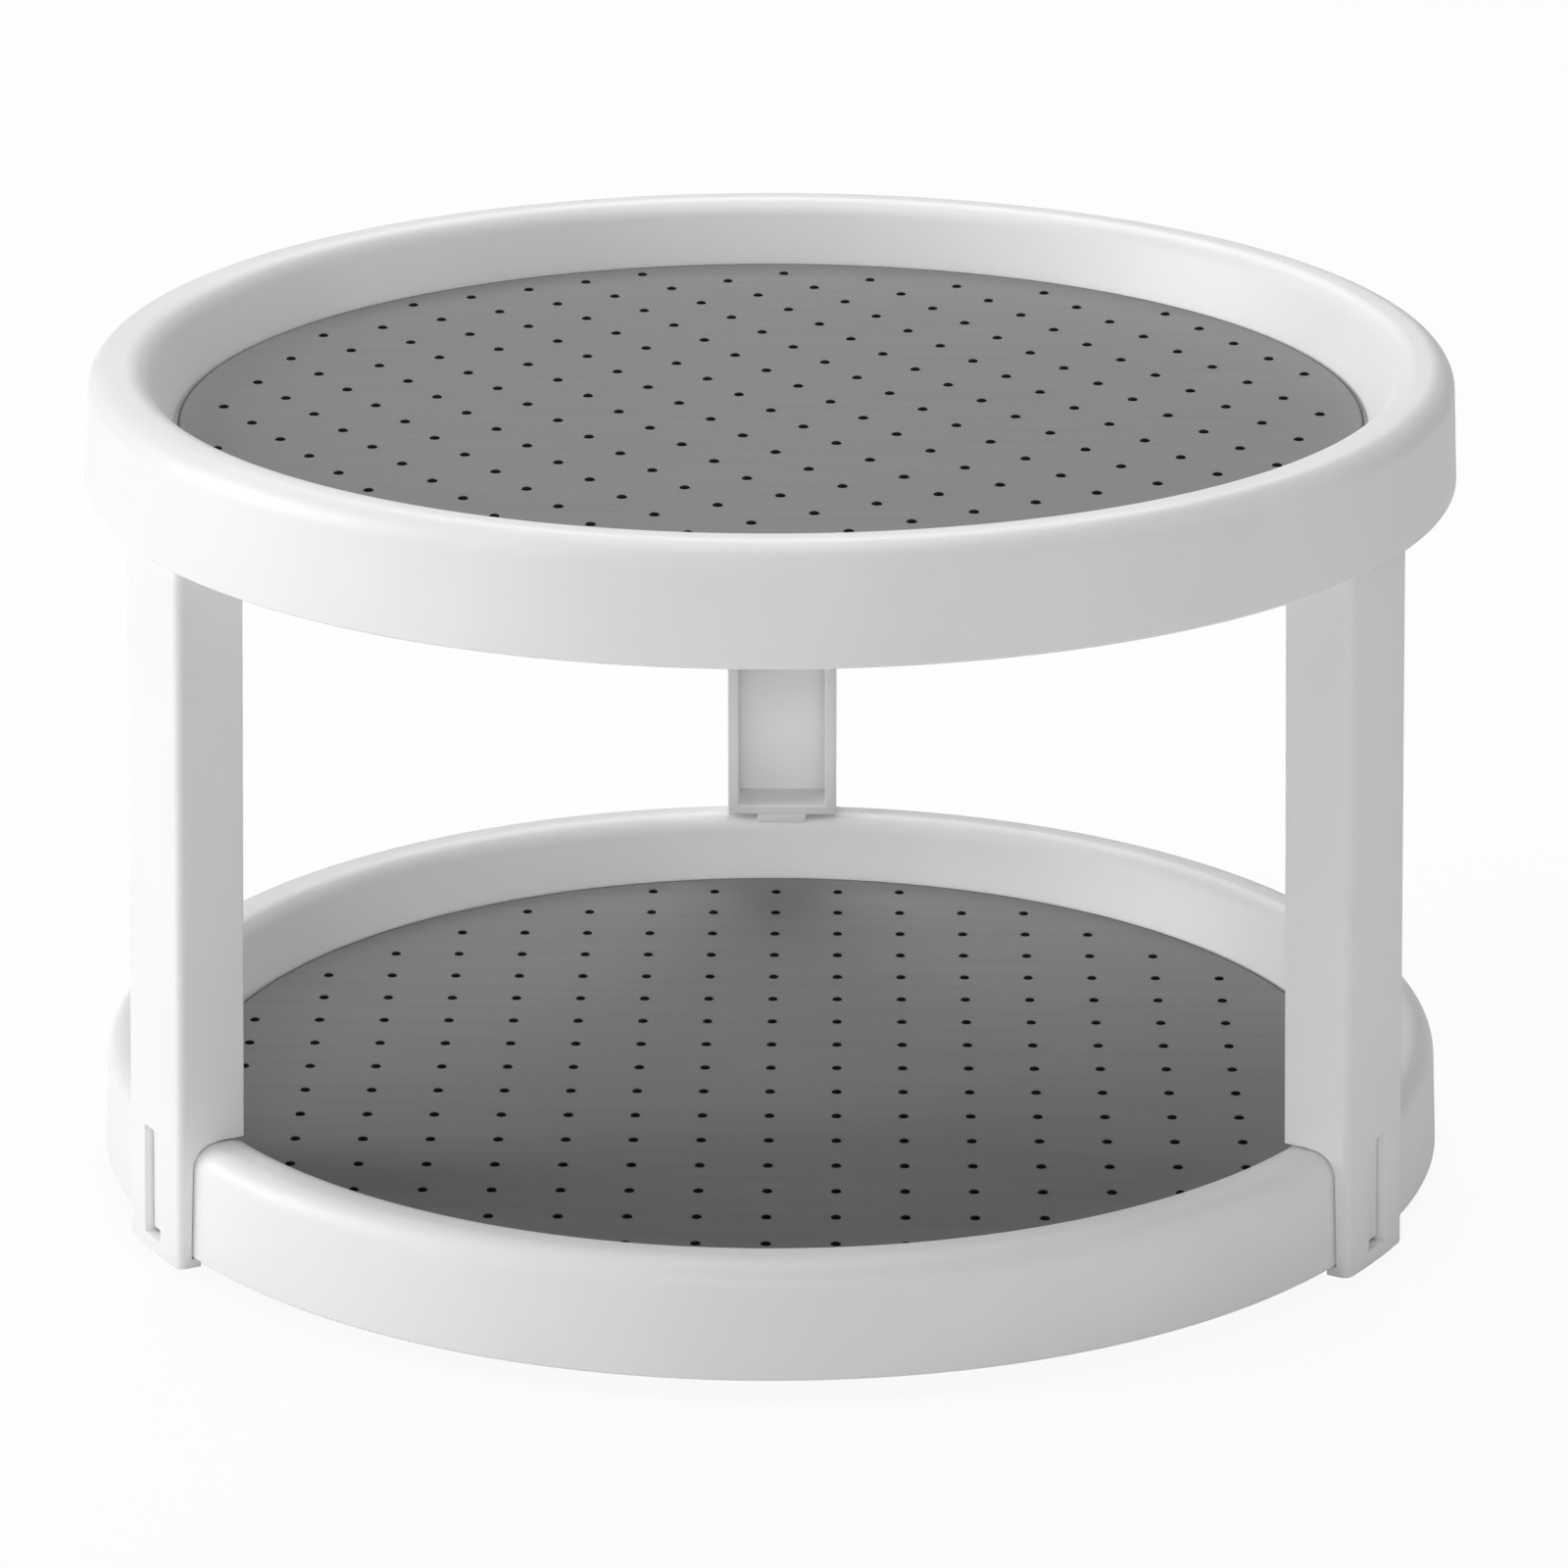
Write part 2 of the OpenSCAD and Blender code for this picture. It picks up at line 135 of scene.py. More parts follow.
def corner_arc(
    before: np.ndarray, corner: np.ndarray, after: np.ndarray, radius: float, steps: int
) -> np.ndarray:
    """Rounds one corner of an outline.

    The arc touches both sides at radius / tan(half the corner's angle) from the corner, and its
    centre lies on the bisector at radius / sin(half the angle).

    Args:
        before: The outline's point before the corner.
        corner: The corner.
        after: The outline's point after it.
        radius: Radius of the arc, or 0 to keep the corner.
        steps: Number of chords in the arc.

    Returns:
        The arc's points, one per row.
    """
    if radius <= 0:
        return corner[None]
    back = (before - corner) / np.linalg.norm(before - corner)
    ahead = (after - corner) / np.linalg.norm(after - corner)
    half = np.arccos(np.clip(back @ ahead, -1, 1)) / 2
    middle = (back + ahead) / np.linalg.norm(back + ahead)
    centre = corner + middle * radius / np.sin(half)
    first = corner + back * radius / np.tan(half) - centre
    last = corner + ahead * radius / np.tan(half) - centre
    start = np.arctan2(first[1], first[0])
    sweep = (np.arctan2(last[1], last[0]) - start + np.pi) % (2 * np.pi) - np.pi
    angle = start + sweep * np.linspace(0, 1, steps + 1)
    return centre + radius * np.stack([np.cos(angle), np.sin(angle)], axis=1)


def outline(rows: Sequence[tuple[float, float, float]], closed: bool = True, steps: int = 7) -> np.ndarray:
    """Turns rows of (x, y, corner radius) into the points of an outline with round corners.

    Args:
        rows: One row per corner, in order.
        closed: Whether the last corner joins the first. If not, both stay sharp.
        steps: Number of chords in each rounding.

    Returns:
        The outline's points, one per row.
    """
    table = np.array(rows, float)
    corners, radii = table[:, :2], table[:, 2].copy()
    if not closed:
        radii[[0, -1]] = 0
    count = len(corners)
    arcs = [
        corner_arc(corners[i - 1], corners[i], corners[(i + 1) % count], radii[i], steps)
        for i in range(count)
    ]
    return np.concatenate(arcs)


@dataclass(frozen=True)
class Skin:
    """A surface on a grid of points that closes round its columns.

    Args:
        points: Array of rows x columns x 3, in millimetres.
        ends: How the first and last rows are closed.
        dropped: Mask of the quads between rows that are left out, rows - 1 x columns.
        extra: Further quads as arrays of four points, such as the walls of a hole.
    """

    points: np.ndarray
    ends: Ends = Ends.OPEN
    dropped: np.ndarray | None = None
    extra: np.ndarray | None = None

    def mesh_data(self) -> tuple[np.ndarray, list[list[int]]]:
        """Gives the flat list of points and the faces that join them."""
        rows, columns = self.points.shape[:2]
        index = np.arange(rows * columns).reshape(rows, columns)
        low = index if self.ends is Ends.JOINED else index[:-1]
        high = np.roll(index, -1, axis=0) if self.ends is Ends.JOINED else index[1:]
        quads = np.stack([low, np.roll(low, -1, 1), np.roll(high, -1, 1), high], axis=-1)
        if self.dropped is not None:
            quads = quads[~self.dropped]
        faces = quads.reshape(-1, 4).tolist()
        if self.ends is Ends.CAPPED:
            faces += [index[0][::-1].tolist(), index[-1].tolist()]
        points = self.points.reshape(-1, 3)
        if self.extra is not None:
            first = len(points)
            points = np.concatenate([points, self.extra.reshape(-1, 3)])
            faces += (first + np.arange(self.extra.shape[0] * 4).reshape(-1, 4)).tolist()
        return points, faces


def revolved(profile: np.ndarray, segments: int, ends: Ends, centre: Sequence[float] = (0, 0)) -> Skin:
    """Turns a profile of (radius, height) about a vertical axis.

    A point at angle t is (radius cos t, radius sin t, height), moved to the centre.

    Args:
        profile: The profile's points, one per row.
        segments: Number of steps in a full turn.
        ends: JOINED for a closed profile, OPEN for one that starts and ends on the axis.
        centre: Where the axis stands, as x and y.

    Returns:
        The surface.
    """
    angle = np.linspace(0, 2 * np.pi, segments, endpoint=False)
    x = profile[:, :1] * np.cos(angle) + centre[0]
    y = profile[:, :1] * np.sin(angle) + centre[1]
    return Skin(np.stack([x, y, np.broadcast_to(profile[:, 1:], x.shape)], axis=-1), ends)


def prism(plan: np.ndarray, heights: Sequence[float], scales: Sequence[float] | None = None) -> Skin:
    """Stands a closed plan up between heights, with flat ends.

    Row i is the plan times scale i about the plan's middle, at height i.

    Args:
        plan: Points of the plan, one per row.
        heights: Heights from the bottom to the top.
        scales: Size of the plan at each height, 1 where left out.

    Returns:
        The surface.
    """
    scale = np.ones(len(heights)) if scales is None else np.array(scales, float)
    middle = plan.mean(axis=0)
    flat = middle + (plan - middle) * scale[:, None, None]
    z = np.broadcast_to(np.array(heights, float)[:, None, None], (*flat.shape[:2], 1))
    return Skin(np.concatenate([flat, z], axis=-1), Ends.CAPPED)


def turned(skin: Skin, degrees: float) -> Skin:
    """Turns a surface about the spin axis.

    Args:
        skin: The surface.
        degrees: Angle, anticlockwise seen from above.

    Returns:
        The turned surface.
    """
    c, s = math.cos(math.radians(degrees)), math.sin(math.radians(degrees))
    matrix = np.array([[c, s, 0], [-s, c, 0], [0, 0, 1]])
    extra = None if skin.extra is None else skin.extra @ matrix
    return Skin(skin.points @ matrix, skin.ends, skin.dropped, extra)


def radial_bars(
    turns: Iterable[float], r0: float, r1: float, z0: float, z1: float, thick: float
) -> list[Skin]:
    """Makes straight ribs that run out from the spin axis.

    Args:
        turns: Direction of each rib, in degrees.
        r0: Radius of the inner end.
        r1: Radius of the outer end.
        z0: Height of the bottom.
        z1: Height of the top.
        thick: Thickness of a rib.

    Returns:
        One surface per rib.
    """
    half = thick / 2
    bar = prism(np.array([[r0, -half], [r1, -half], [r1, half], [r0, half]]), [z0, z1])
    return [turned(bar, turn) for turn in turns]


# ---- Materials ------------------------------------------------------------------------------


def linear(colour: str) -> tuple[float, float, float, float]:
    """Turns an sRGB hex colour into linear red, green, blue and alpha."""
    values = np.array([int(colour[i : i + 2], 16) for i in (1, 3, 5)]) / 255
    low = values <= 0.04045
    rgb = np.where(low, values / 12.92, ((values + 0.055) / 1.055) ** 2.4)
    return (*(float(v) for v in rgb), 1.0)


def per_metre(size_mm: float) -> float:
    """Gives the noise scale at which one feature of a pattern is about the given size."""
    return 1 / (size_mm * MM)


def add(tree: Tree, kind: str, links: dict | None = None, **settings: object) -> Node:
    """Adds a shader node with its settings and links.

    Args:
        tree: The node tree.
        kind: The node's type.
        links: Input name or number to the socket that feeds it, or to a plain value.
        settings: Attributes of the node, such as operation.

    Returns:
        The node.
    """
    made = tree.nodes.new(kind)
    for name, value in settings.items():
        setattr(made, name, value)
    for name, value in (links or {}).items():
        if isinstance(value, Socket):
            tree.links.new(value, made.inputs[name])
        else:
            made.inputs[name].default_value = value
    return made


@dataclass(frozen=True)
class Finish:
    """A surface finish: what all of them share.

    Args:
        name: Name of the material.
        colour: Main colour, sRGB hex.
        roughness: Middle of the roughness.
        grain_mm: Size of the finest grain.
        grain_depth_mm: Depth of that grain.
    """

    name: str
    colour: str
    roughness: float
    grain_mm: float
    grain_depth_mm: float

    def material(self) -> bpy.types.Material:
        """Makes the material, with its shader joined to the output."""
        made = bpy.data.materials.new(self.name)
        made.use_nodes = True
        tree = made.node_tree
        tree.nodes.clear()
        shader = add(tree, "ShaderNodeBsdfPrincipled")
        add(tree, "ShaderNodeOutputMaterial", {"Surface": shader.outputs[0]})
        shader.inputs["Base Color"].default_value = linear(self.colour)
        self.dress(tree, shader, add(tree, "ShaderNodeTexCoord").outputs["Object"])
        return made

    def dress(self, tree: Tree, shader: Node, place: Socket) -> None:
        """Gives the shader its colour, roughness and relief. Each finish has its own."""
        raise NotImplementedError

    def noise(self, tree: Tree, place: Socket, size_mm: float, detail: float = 2.0) -> Socket:
        """Adds noise whose features are about size_mm across and gives its value socket."""
        links = {"Vector": place, "Scale": per_metre(size_mm), "Detail": detail}
        return add(tree, "ShaderNodeTexNoise", links).outputs["Fac"]

    def spread(self, tree: Tree, value: Socket, low: float, high: float) -> Socket:
        """Maps the middle of a noise, 0.3 to 0.7, onto low to high."""
        links = {"Value": value, "From Min": 0.3, "From Max": 0.7, "To Min": low, "To Max": high}
        return add(tree, "ShaderNodeMapRange", links).outputs["Result"]

    def blended(self, tree: Tree, value: Socket, low: object, high: object) -> Socket:
        """Blends from low to high, each a colour or the socket of one, as the value goes from 0 to 1."""
        links = {"Factor": value, 6: low, 7: high}
        return add(tree, "ShaderNodeMix", links, data_type="RGBA").outputs[2]

    def tinted(self, tree: Tree, value: Socket, low: str, high: str) -> Socket:
        """Blends from the hex colour low to the hex colour high as the value goes from 0 to 1."""
        return self.blended(tree, value, linear(low), linear(high))

    def relief(self, tree: Tree, height: Socket, shader: Node, depth_mm: float) -> None:
        """Bumps the shader's surface by a height of 0 to 1 times depth_mm."""
        links = {"Height": height, "Distance": depth_mm * MM, "Strength": 1.0}
        bump = add(tree, "ShaderNodeBump", links)
        tree.links.new(bump.outputs["Normal"], shader.inputs["Normal"])


@dataclass(frozen=True)
class MouldedPolypropylene(Finish):
    """Injection-moulded polypropylene with a satin sheen.

    The mould's steel is finely spark-eroded, which leaves a faint grain and breaks up the shine.
    The melt's flow leaves wide, very faint changes of tone.

    Args:
        flow_colour: Colour of the slightly darker flow areas, sRGB hex.
        flow_mm: Width of a flow area.
    """

    flow_colour: str = "#efeff0"
    flow_mm: float = 45.0

    def dress(self, tree: Tree, shader: Node, place: Socket) -> None:
        """Adds the flow tones, the grain's relief and its broken shine."""
        shader.inputs["IOR"].default_value = 1.49
        flow = self.spread(tree, self.noise(tree, place, self.flow_mm), 0, 1)
        tree.links.new(self.tinted(tree, flow, self.colour, self.flow_colour), shader.inputs["Base Color"])
        grain = self.noise(tree, place, self.grain_mm, 3)
        rough = self.spread(tree, grain, self.roughness - 0.05, self.roughness + 0.05)
        tree.links.new(rough, shader.inputs["Roughness"])
        self.relief(tree, grain, shader, self.grain_depth_mm)


@dataclass(frozen=True)
class GripSheet(Finish):
    """Calendered soft vinyl sheet: matt, with a fine pebble, long faint roller streaks and a painted shade
    ring round its edge.

    Args:
        streak_colour: Colour of the lighter streaks, sRGB hex.
        streak_mm: Width of a streak.
        turn: Direction in which the sheet ran through the rollers, in degrees.
        gap_shade_colour: Colour of the painted shade ring at the sheet's outer edge, standing for the shadow
            in the gap to the tray's wall, sRGB hex.
        gap_shade_r_mm: Radius where the painted shade ring starts.
    """

    streak_colour: str = "#858583"
    streak_mm: float = 3.0
    turn: float = 0.0
    gap_shade_colour: str = "#3a3a39"
    gap_shade_r_mm: float = 130.6

    def dress(self, tree: Tree, shader: Node, place: Socket) -> None:
        """Adds the streaks, the pebble and a painted shade ring at the sheet's outer edge."""
        mapping = {
            "Vector": place,
            "Rotation": (0, 0, math.radians(self.turn)),
            "Scale": (0.06, 1, 1),
        }
        along = add(tree, "ShaderNodeMapping", mapping)
        streak = self.noise(tree, along.outputs[0], self.streak_mm, 3)
        tone = self.spread(tree, streak, 0, 1)
        sheet = self.tinted(tree, tone, self.colour, self.streak_colour)
        # Painted shade: the sheet darkens in a thin ring at its outer edge, standing for the shadow in the
        # gap between the sheet and the tray's wall.
        flat = add(tree, "ShaderNodeVectorMath", {0: place, 1: (1, 1, 0)}, operation="MULTIPLY")
        reach = add(tree, "ShaderNodeVectorMath", {0: flat.outputs[0]}, operation="LENGTH")
        start = self.gap_shade_r_mm * MM
        links = {"Value": reach.outputs["Value"], "From Min": start, "From Max": start + 0.5 * MM}
        cut = add(tree, "ShaderNodeMapRange", links)
        with_gap_shade = self.blended(tree, cut.outputs["Result"], sheet, linear(self.gap_shade_colour))
        tree.links.new(with_gap_shade, shader.inputs["Base Color"])
        pebble = self.noise(tree, place, self.grain_mm, 2)
        rough = self.spread(tree, pebble, self.roughness - 0.06, self.roughness + 0.06)
        tree.links.new(rough, shader.inputs["Roughness"])
        shader.inputs["Specular IOR Level"].default_value = 0.3
        self.relief(tree, pebble, shader, self.grain_depth_mm)


@dataclass(frozen=True)
class SoftRubber(Finish):
    """Moulded or printed soft rubber: dark and matt, with a dusty pebble on it.

    Args:
        dust_colour: Colour of the dustier spots, sRGB hex.
        shine: Strength of the gloss, 0.5 for bare rubber.
    """

    dust_colour: str = "#2b2b2b"
    shine: float = 0.5

    def dress(self, tree: Tree, shader: Node, place: Socket) -> None:
        """Adds the dusty tone and the pebble."""
        pebble = self.noise(tree, place, self.grain_mm, 3)
        tone = self.spread(tree, pebble, 0, 1)
        tree.links.new(self.tinted(tree, tone, self.colour, self.dust_colour), shader.inputs["Base Color"])
        rough = self.spread(tree, pebble, self.roughness - 0.08, self.roughness + 0.08)
        tree.links.new(rough, shader.inputs["Roughness"])
        shader.inputs["Specular IOR Level"].default_value = self.shine
        self.relief(tree, pebble, shader, self.grain_depth_mm)


@dataclass(frozen=True)
class BrightSteel(Finish):
    """Plated or polished steel: a clear metal shine, broken by fine handling marks.

    Args:
        mark_mm: Size of the duller patches that handling leaves.
    """

    mark_mm: float = 2.0

    def dress(self, tree: Tree, shader: Node, place: Socket) -> None:
        """Adds the handling marks to the shine."""
        shader.inputs["Metallic"].default_value = 1.0
        marks = self.noise(tree, place, self.mark_mm, 4)
        rough = self.spread(tree, marks, self.roughness, self.roughness + 0.15)
        tree.links.new(rough, shader.inputs["Roughness"])
        self.relief(tree, self.noise(tree, place, self.grain_mm, 2), shader, self.grain_depth_mm)


@dataclass(frozen=True)
class Finishes:
    """Every finish of the turntable, as a made material."""

    tray: bpy.types.Material
    upper_sheet: bpy.types.Material
    lower_sheet: bpy.types.Material
    dot: bpy.types.Material
    cage: bpy.types.Material
    steel: bpy.types.Material
    foot: bpy.types.Material

    @classmethod
    def made(cls) -> "Finishes":
        """Makes the materials."""
        return cls(
            tray=MouldedPolypropylene("white_moulded_polypropylene", "#f3f3f4", 0.42, 0.7, 0.004).material(),
            upper_sheet=GripSheet("grey_grip_vinyl_upper", "#80807e", 0.62, 0.6, 0.01, turn=29.4).material(),
            lower_sheet=GripSheet("grey_grip_vinyl_lower", "#80807e", 0.62, 0.6, 0.01, turn=0.5).material(),
            dot=SoftRubber("black_printed_rubber_dot", "#030303", 0.8, 0.5, 0.01, "#060606", 0.12).material(),
            cage=MouldedPolypropylene(
                "natural_moulded_polypropylene", "#dcdbd4", 0.5, 0.7, 0.006, "#d3d2ca"
            ).material(),
            steel=BrightSteel("bright_plated_steel", "#c4c6c9", 0.18, 0.6, 0.002).material(),
            foot=SoftRubber("dark_moulded_foot_rubber", "#242424", 0.7, 0.6, 0.02, "#353535").material(),
        )


# ---- Pieces ---------------------------------------------------------------------------------


class Shading(Enum):
    """How the edges of a piece are finished."""

    ROUND_PROFILE = "round_profile"
    BEVELLED = "bevelled"


@dataclass
class Piece:
    """A finished piece of the model.

    Args:
        name: Name of the piece.
        skins: Its surfaces.
        material: Its material.
        body: The rigid body that it moves with.
        slot: The record's material slot that it stands for. Not used.
        replaces: The CAD nodes that it stands for.
        shading: Whether its profile already has its roundings or needs its edges bevelled.
        bevel_mm: Width of that bevel.
        merge_mm: Points closer together than this become one.
    """

    name: str
    skins: list[Skin]
    material: bpy.types.Material
    body: Body
    slot: Slot
    replaces: tuple[str, ...] = ()
    shading: Shading = Shading.ROUND_PROFILE
    bevel_mm: float = 0.3
    merge_mm: float = 0.0005

    def build(self) -> bpy.types.Object:
        """Makes the object, closes its seams and poles, and hangs it on its body."""
        data = [skin.mesh_data() for skin in self.skins]
        starts = np.cumsum([0] + [len(points) for points, _ in data])
        points = np.concatenate([points for points, _ in data]) * MM
        faces = [[v + start for v in face] for (_, some), start in zip(data, starts) for face in some]
        mesh = bpy.data.meshes.new(self.name)
        mesh.from_pydata(points.tolist(), [], faces)
        self.close(mesh)
        mesh.materials.append(self.material)
        mesh.shade_smooth()
        made = bpy.data.objects.new(self.name, mesh)
        bpy.context.scene.collection.objects.link(made)
        self.finish_edges(made)
        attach(made, self.body.value)
        if self.replaces:
            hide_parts(*self.replaces)
        log.info("%s: %d faces", self.name, len(mesh.polygons))
        return made

    def close(self, mesh: bpy.types.Mesh) -> None:
        """Merges doubled points, drops faces without area and turns the faces outwards."""
        work = bmesh.new()
        work.from_mesh(mesh)
        bmesh.ops.remove_doubles(work, verts=work.verts, dist=self.merge_mm * MM)
        bmesh.ops.dissolve_degenerate(work, edges=work.edges, dist=self.merge_mm * MM)
        bmesh.ops.recalc_face_normals(work, faces=work.faces)
        work.to_mesh(mesh)
        work.free()

    def finish_edges(self, made: bpy.types.Object) -> None:
        """Bevels the sharp edges, or evens out the normals of a profile that is round already."""
        if self.shading is Shading.BEVELLED:
            bevel = made.modifiers.new("edge_bevel", "BEVEL")
            bevel.width = self.bevel_mm * MM
            bevel.segments = 2
            bevel.limit_method = "ANGLE"
            bevel.angle_limit = math.radians(30)
            bevel.use_clamp_overlap = False
        even = made.modifiers.new("even_normals", "WEIGHTED_NORMAL")
        even.weight = 80


@dataclass
class Tray:
    """A moulded round tray: floor, bowl wall, flat crown, round shoulder and skirt.

    Args:
        node: The CAD node that it replaces.
        material: Its plastic.
        rim_draft: How much the rim narrows on radius from the skirt edge to the shoulder.
        crown_w: Width of the crown from the lip's corner to the shoulder's corner.
        shoulder_round: Rounding of the shoulder.
        lip_round: Rounding of the lip.
        bowl_lean: How far the bowl's wall leans out between the floor and the lip.
        floor_h: Height of the floor above the skirt edge.
        wall: Thickness of the walls.
        floor_t: Thickness of the floor.
        edge_round: Rounding of the skirt's edge.
        rim_h: Height of the rim from the skirt edge to the crown.
        segments: Steps in a full turn.
        outer_r: Radius of the skirt's edge.
    """

    node: str
    material: bpy.types.Material
    rim_draft: float = 1.2
    crown_w: float = 11.9
    shoulder_round: float = 5.6
    lip_round: float = 6.2
    bowl_lean: float = 7.1
    floor_h: float = 10.6
    wall: float = 2.4
    floor_t: float = 2.4
    edge_round: float = 0.7
    rim_h: float = 25.9
    segments: int = 288
    outer_r: float = 152.0
    skirt_z: float = field(init=False)

    def __post_init__(self) -> None:
        """Reads the height of the tray's crown from the frame."""
        box = NodeBox.of(self.node)
        self.skirt_z = float(box.high[2]) - self.rim_h

    @property
    def shoulder_r(self) -> float:
        """Radius of the shoulder's corner."""
        return self.outer_r - self.rim_draft

    @property
    def lip_r(self) -> float:
        """Radius of the lip's corner."""
        return self.shoulder_r - self.crown_w

    @property
    def bowl_r(self) -> float:
        """Radius of the floor's corner."""
        return self.lip_r - self.bowl_lean

    def bowl_at(self, z: float) -> float:
        """Radius of the bowl's inner face at a height above the skirt edge."""
        return self.bowl_r + self.bowl_lean * (z - self.floor_h) / (self.rim_h - self.floor_h)

    def skirt_at(self, z: float) -> float:
        """Radius of the skirt's outer face at a height above the skirt edge."""
        return self.outer_r - self.rim_draft * z / self.rim_h

    def rim_rows(self) -> list[tuple[float, float, float]]:
        """Rows of the section from the underside of the floor, round the rim, to the floor."""
        slope = self.bowl_lean / (self.rim_h - self.floor_h)
        across = self.wall * math.hypot(1, slope)
        under, top = self.floor_h - self.floor_t, self.rim_h - self.wall
        return [
            (self.bowl_at(under) + across, under, 0.8),
            (self.bowl_at(top) + across, top, self.lip_round - self.wall),
            (self.skirt_at(top) - self.wall, top, self.shoulder_round - self.wall),
            (self.outer_r - self.wall, 0, self.edge_round),
            (self.outer_r, 0, self.edge_round),
            (self.shoulder_r, self.rim_h, self.shoulder_round),
            (self.lip_r, self.rim_h, self.lip_round),
            (self.bowl_r, self.floor_h, 0.8),
            (0, self.floor_h, 0),
        ]

    def under_rows(self) -> list[tuple[float, float, float]]:
        """Rows of the section under the floor, from the axis out."""
        return [(0, self.floor_h - self.floor_t, 0)]

    def shell(self) -> Skin:
        """Turns the whole section about the spin axis."""
        section = outline(self.under_rows() + self.rim_rows(), closed=False, steps=9)
        section[:, 1] += self.skirt_z
        return revolved(section, self.segments, Ends.OPEN)

    def ribs(self) -> list[Skin]:
        """Gives the ribs under the tray."""
        return []

    def build(self) -> None:
        """Builds the shell and its ribs."""
        Piece(
            f"{self.node}_shell", [self.shell()], self.material, Body.TURNTABLE, Slot.WHITE, (self.node,)
        ).build()
        ribs = self.ribs()
        if ribs:
            Piece(f"{self.node}_ribs", ribs, self.material, Body.TURNTABLE, Slot.WHITE,
                shading=Shading.BEVELLED, bevel_mm=0.25).build()


@dataclass
class UpperTray(Tray):
    """The upper tray, with a pair of ribs in its rim for the plug of each leg.

    Args:
        plug_w: Width of a leg's plug.
        plug_gap: Clearance on each side of the plug.
        socket_rib_t: Thickness of a rib.
        rib_lift: Height of a rib's bottom above the skirt edge.
    """

    plug_w: float = 20.0
    plug_gap: float = 0.25
    socket_rib_t: float = 2.0
    rib_lift: float = 0.6

    def ribs(self) -> list[Skin]:
        """Makes the socket ribs: the rim's hollow as an outline across, two for each leg."""
        half, top = self.wall / 2, self.rim_h - self.wall / 2
        across = self.plug_w / 2 + self.plug_gap
        hollow = outline([
            (self.bowl_r - half, self.rib_lift, 0),
            (self.skirt_at(self.rib_lift) - half, self.rib_lift, 0),
            (self.skirt_at(top) - half, top, self.shoulder_round - half),
            (self.bowl_at(top) + half, top, self.lip_round - half),
            (self.bowl_at(self.floor_h - half) + half, self.floor_h - half, 0),
            (self.bowl_r - half, self.floor_h - half, 0),
        ])
        made = []
        for side in (-1, 1):
            faces = side * np.array([across, across + self.socket_rib_t])
            # A point at radius r of the outline lies at u = sqrt(r squared - v squared) in the rib
            u = np.sqrt(hollow[None, :, 0] ** 2 - faces[:, None] ** 2)
            v = np.broadcast_to(faces[:, None], u.shape)
            z = np.broadcast_to(hollow[None, :, 1] + self.skirt_z, u.shape)
            rib = Skin(np.stack([u, v, z], axis=-1), Ends.CAPPED)
            made += [turned(rib, turn) for turn in LEG_TURNS.values()]
        return made


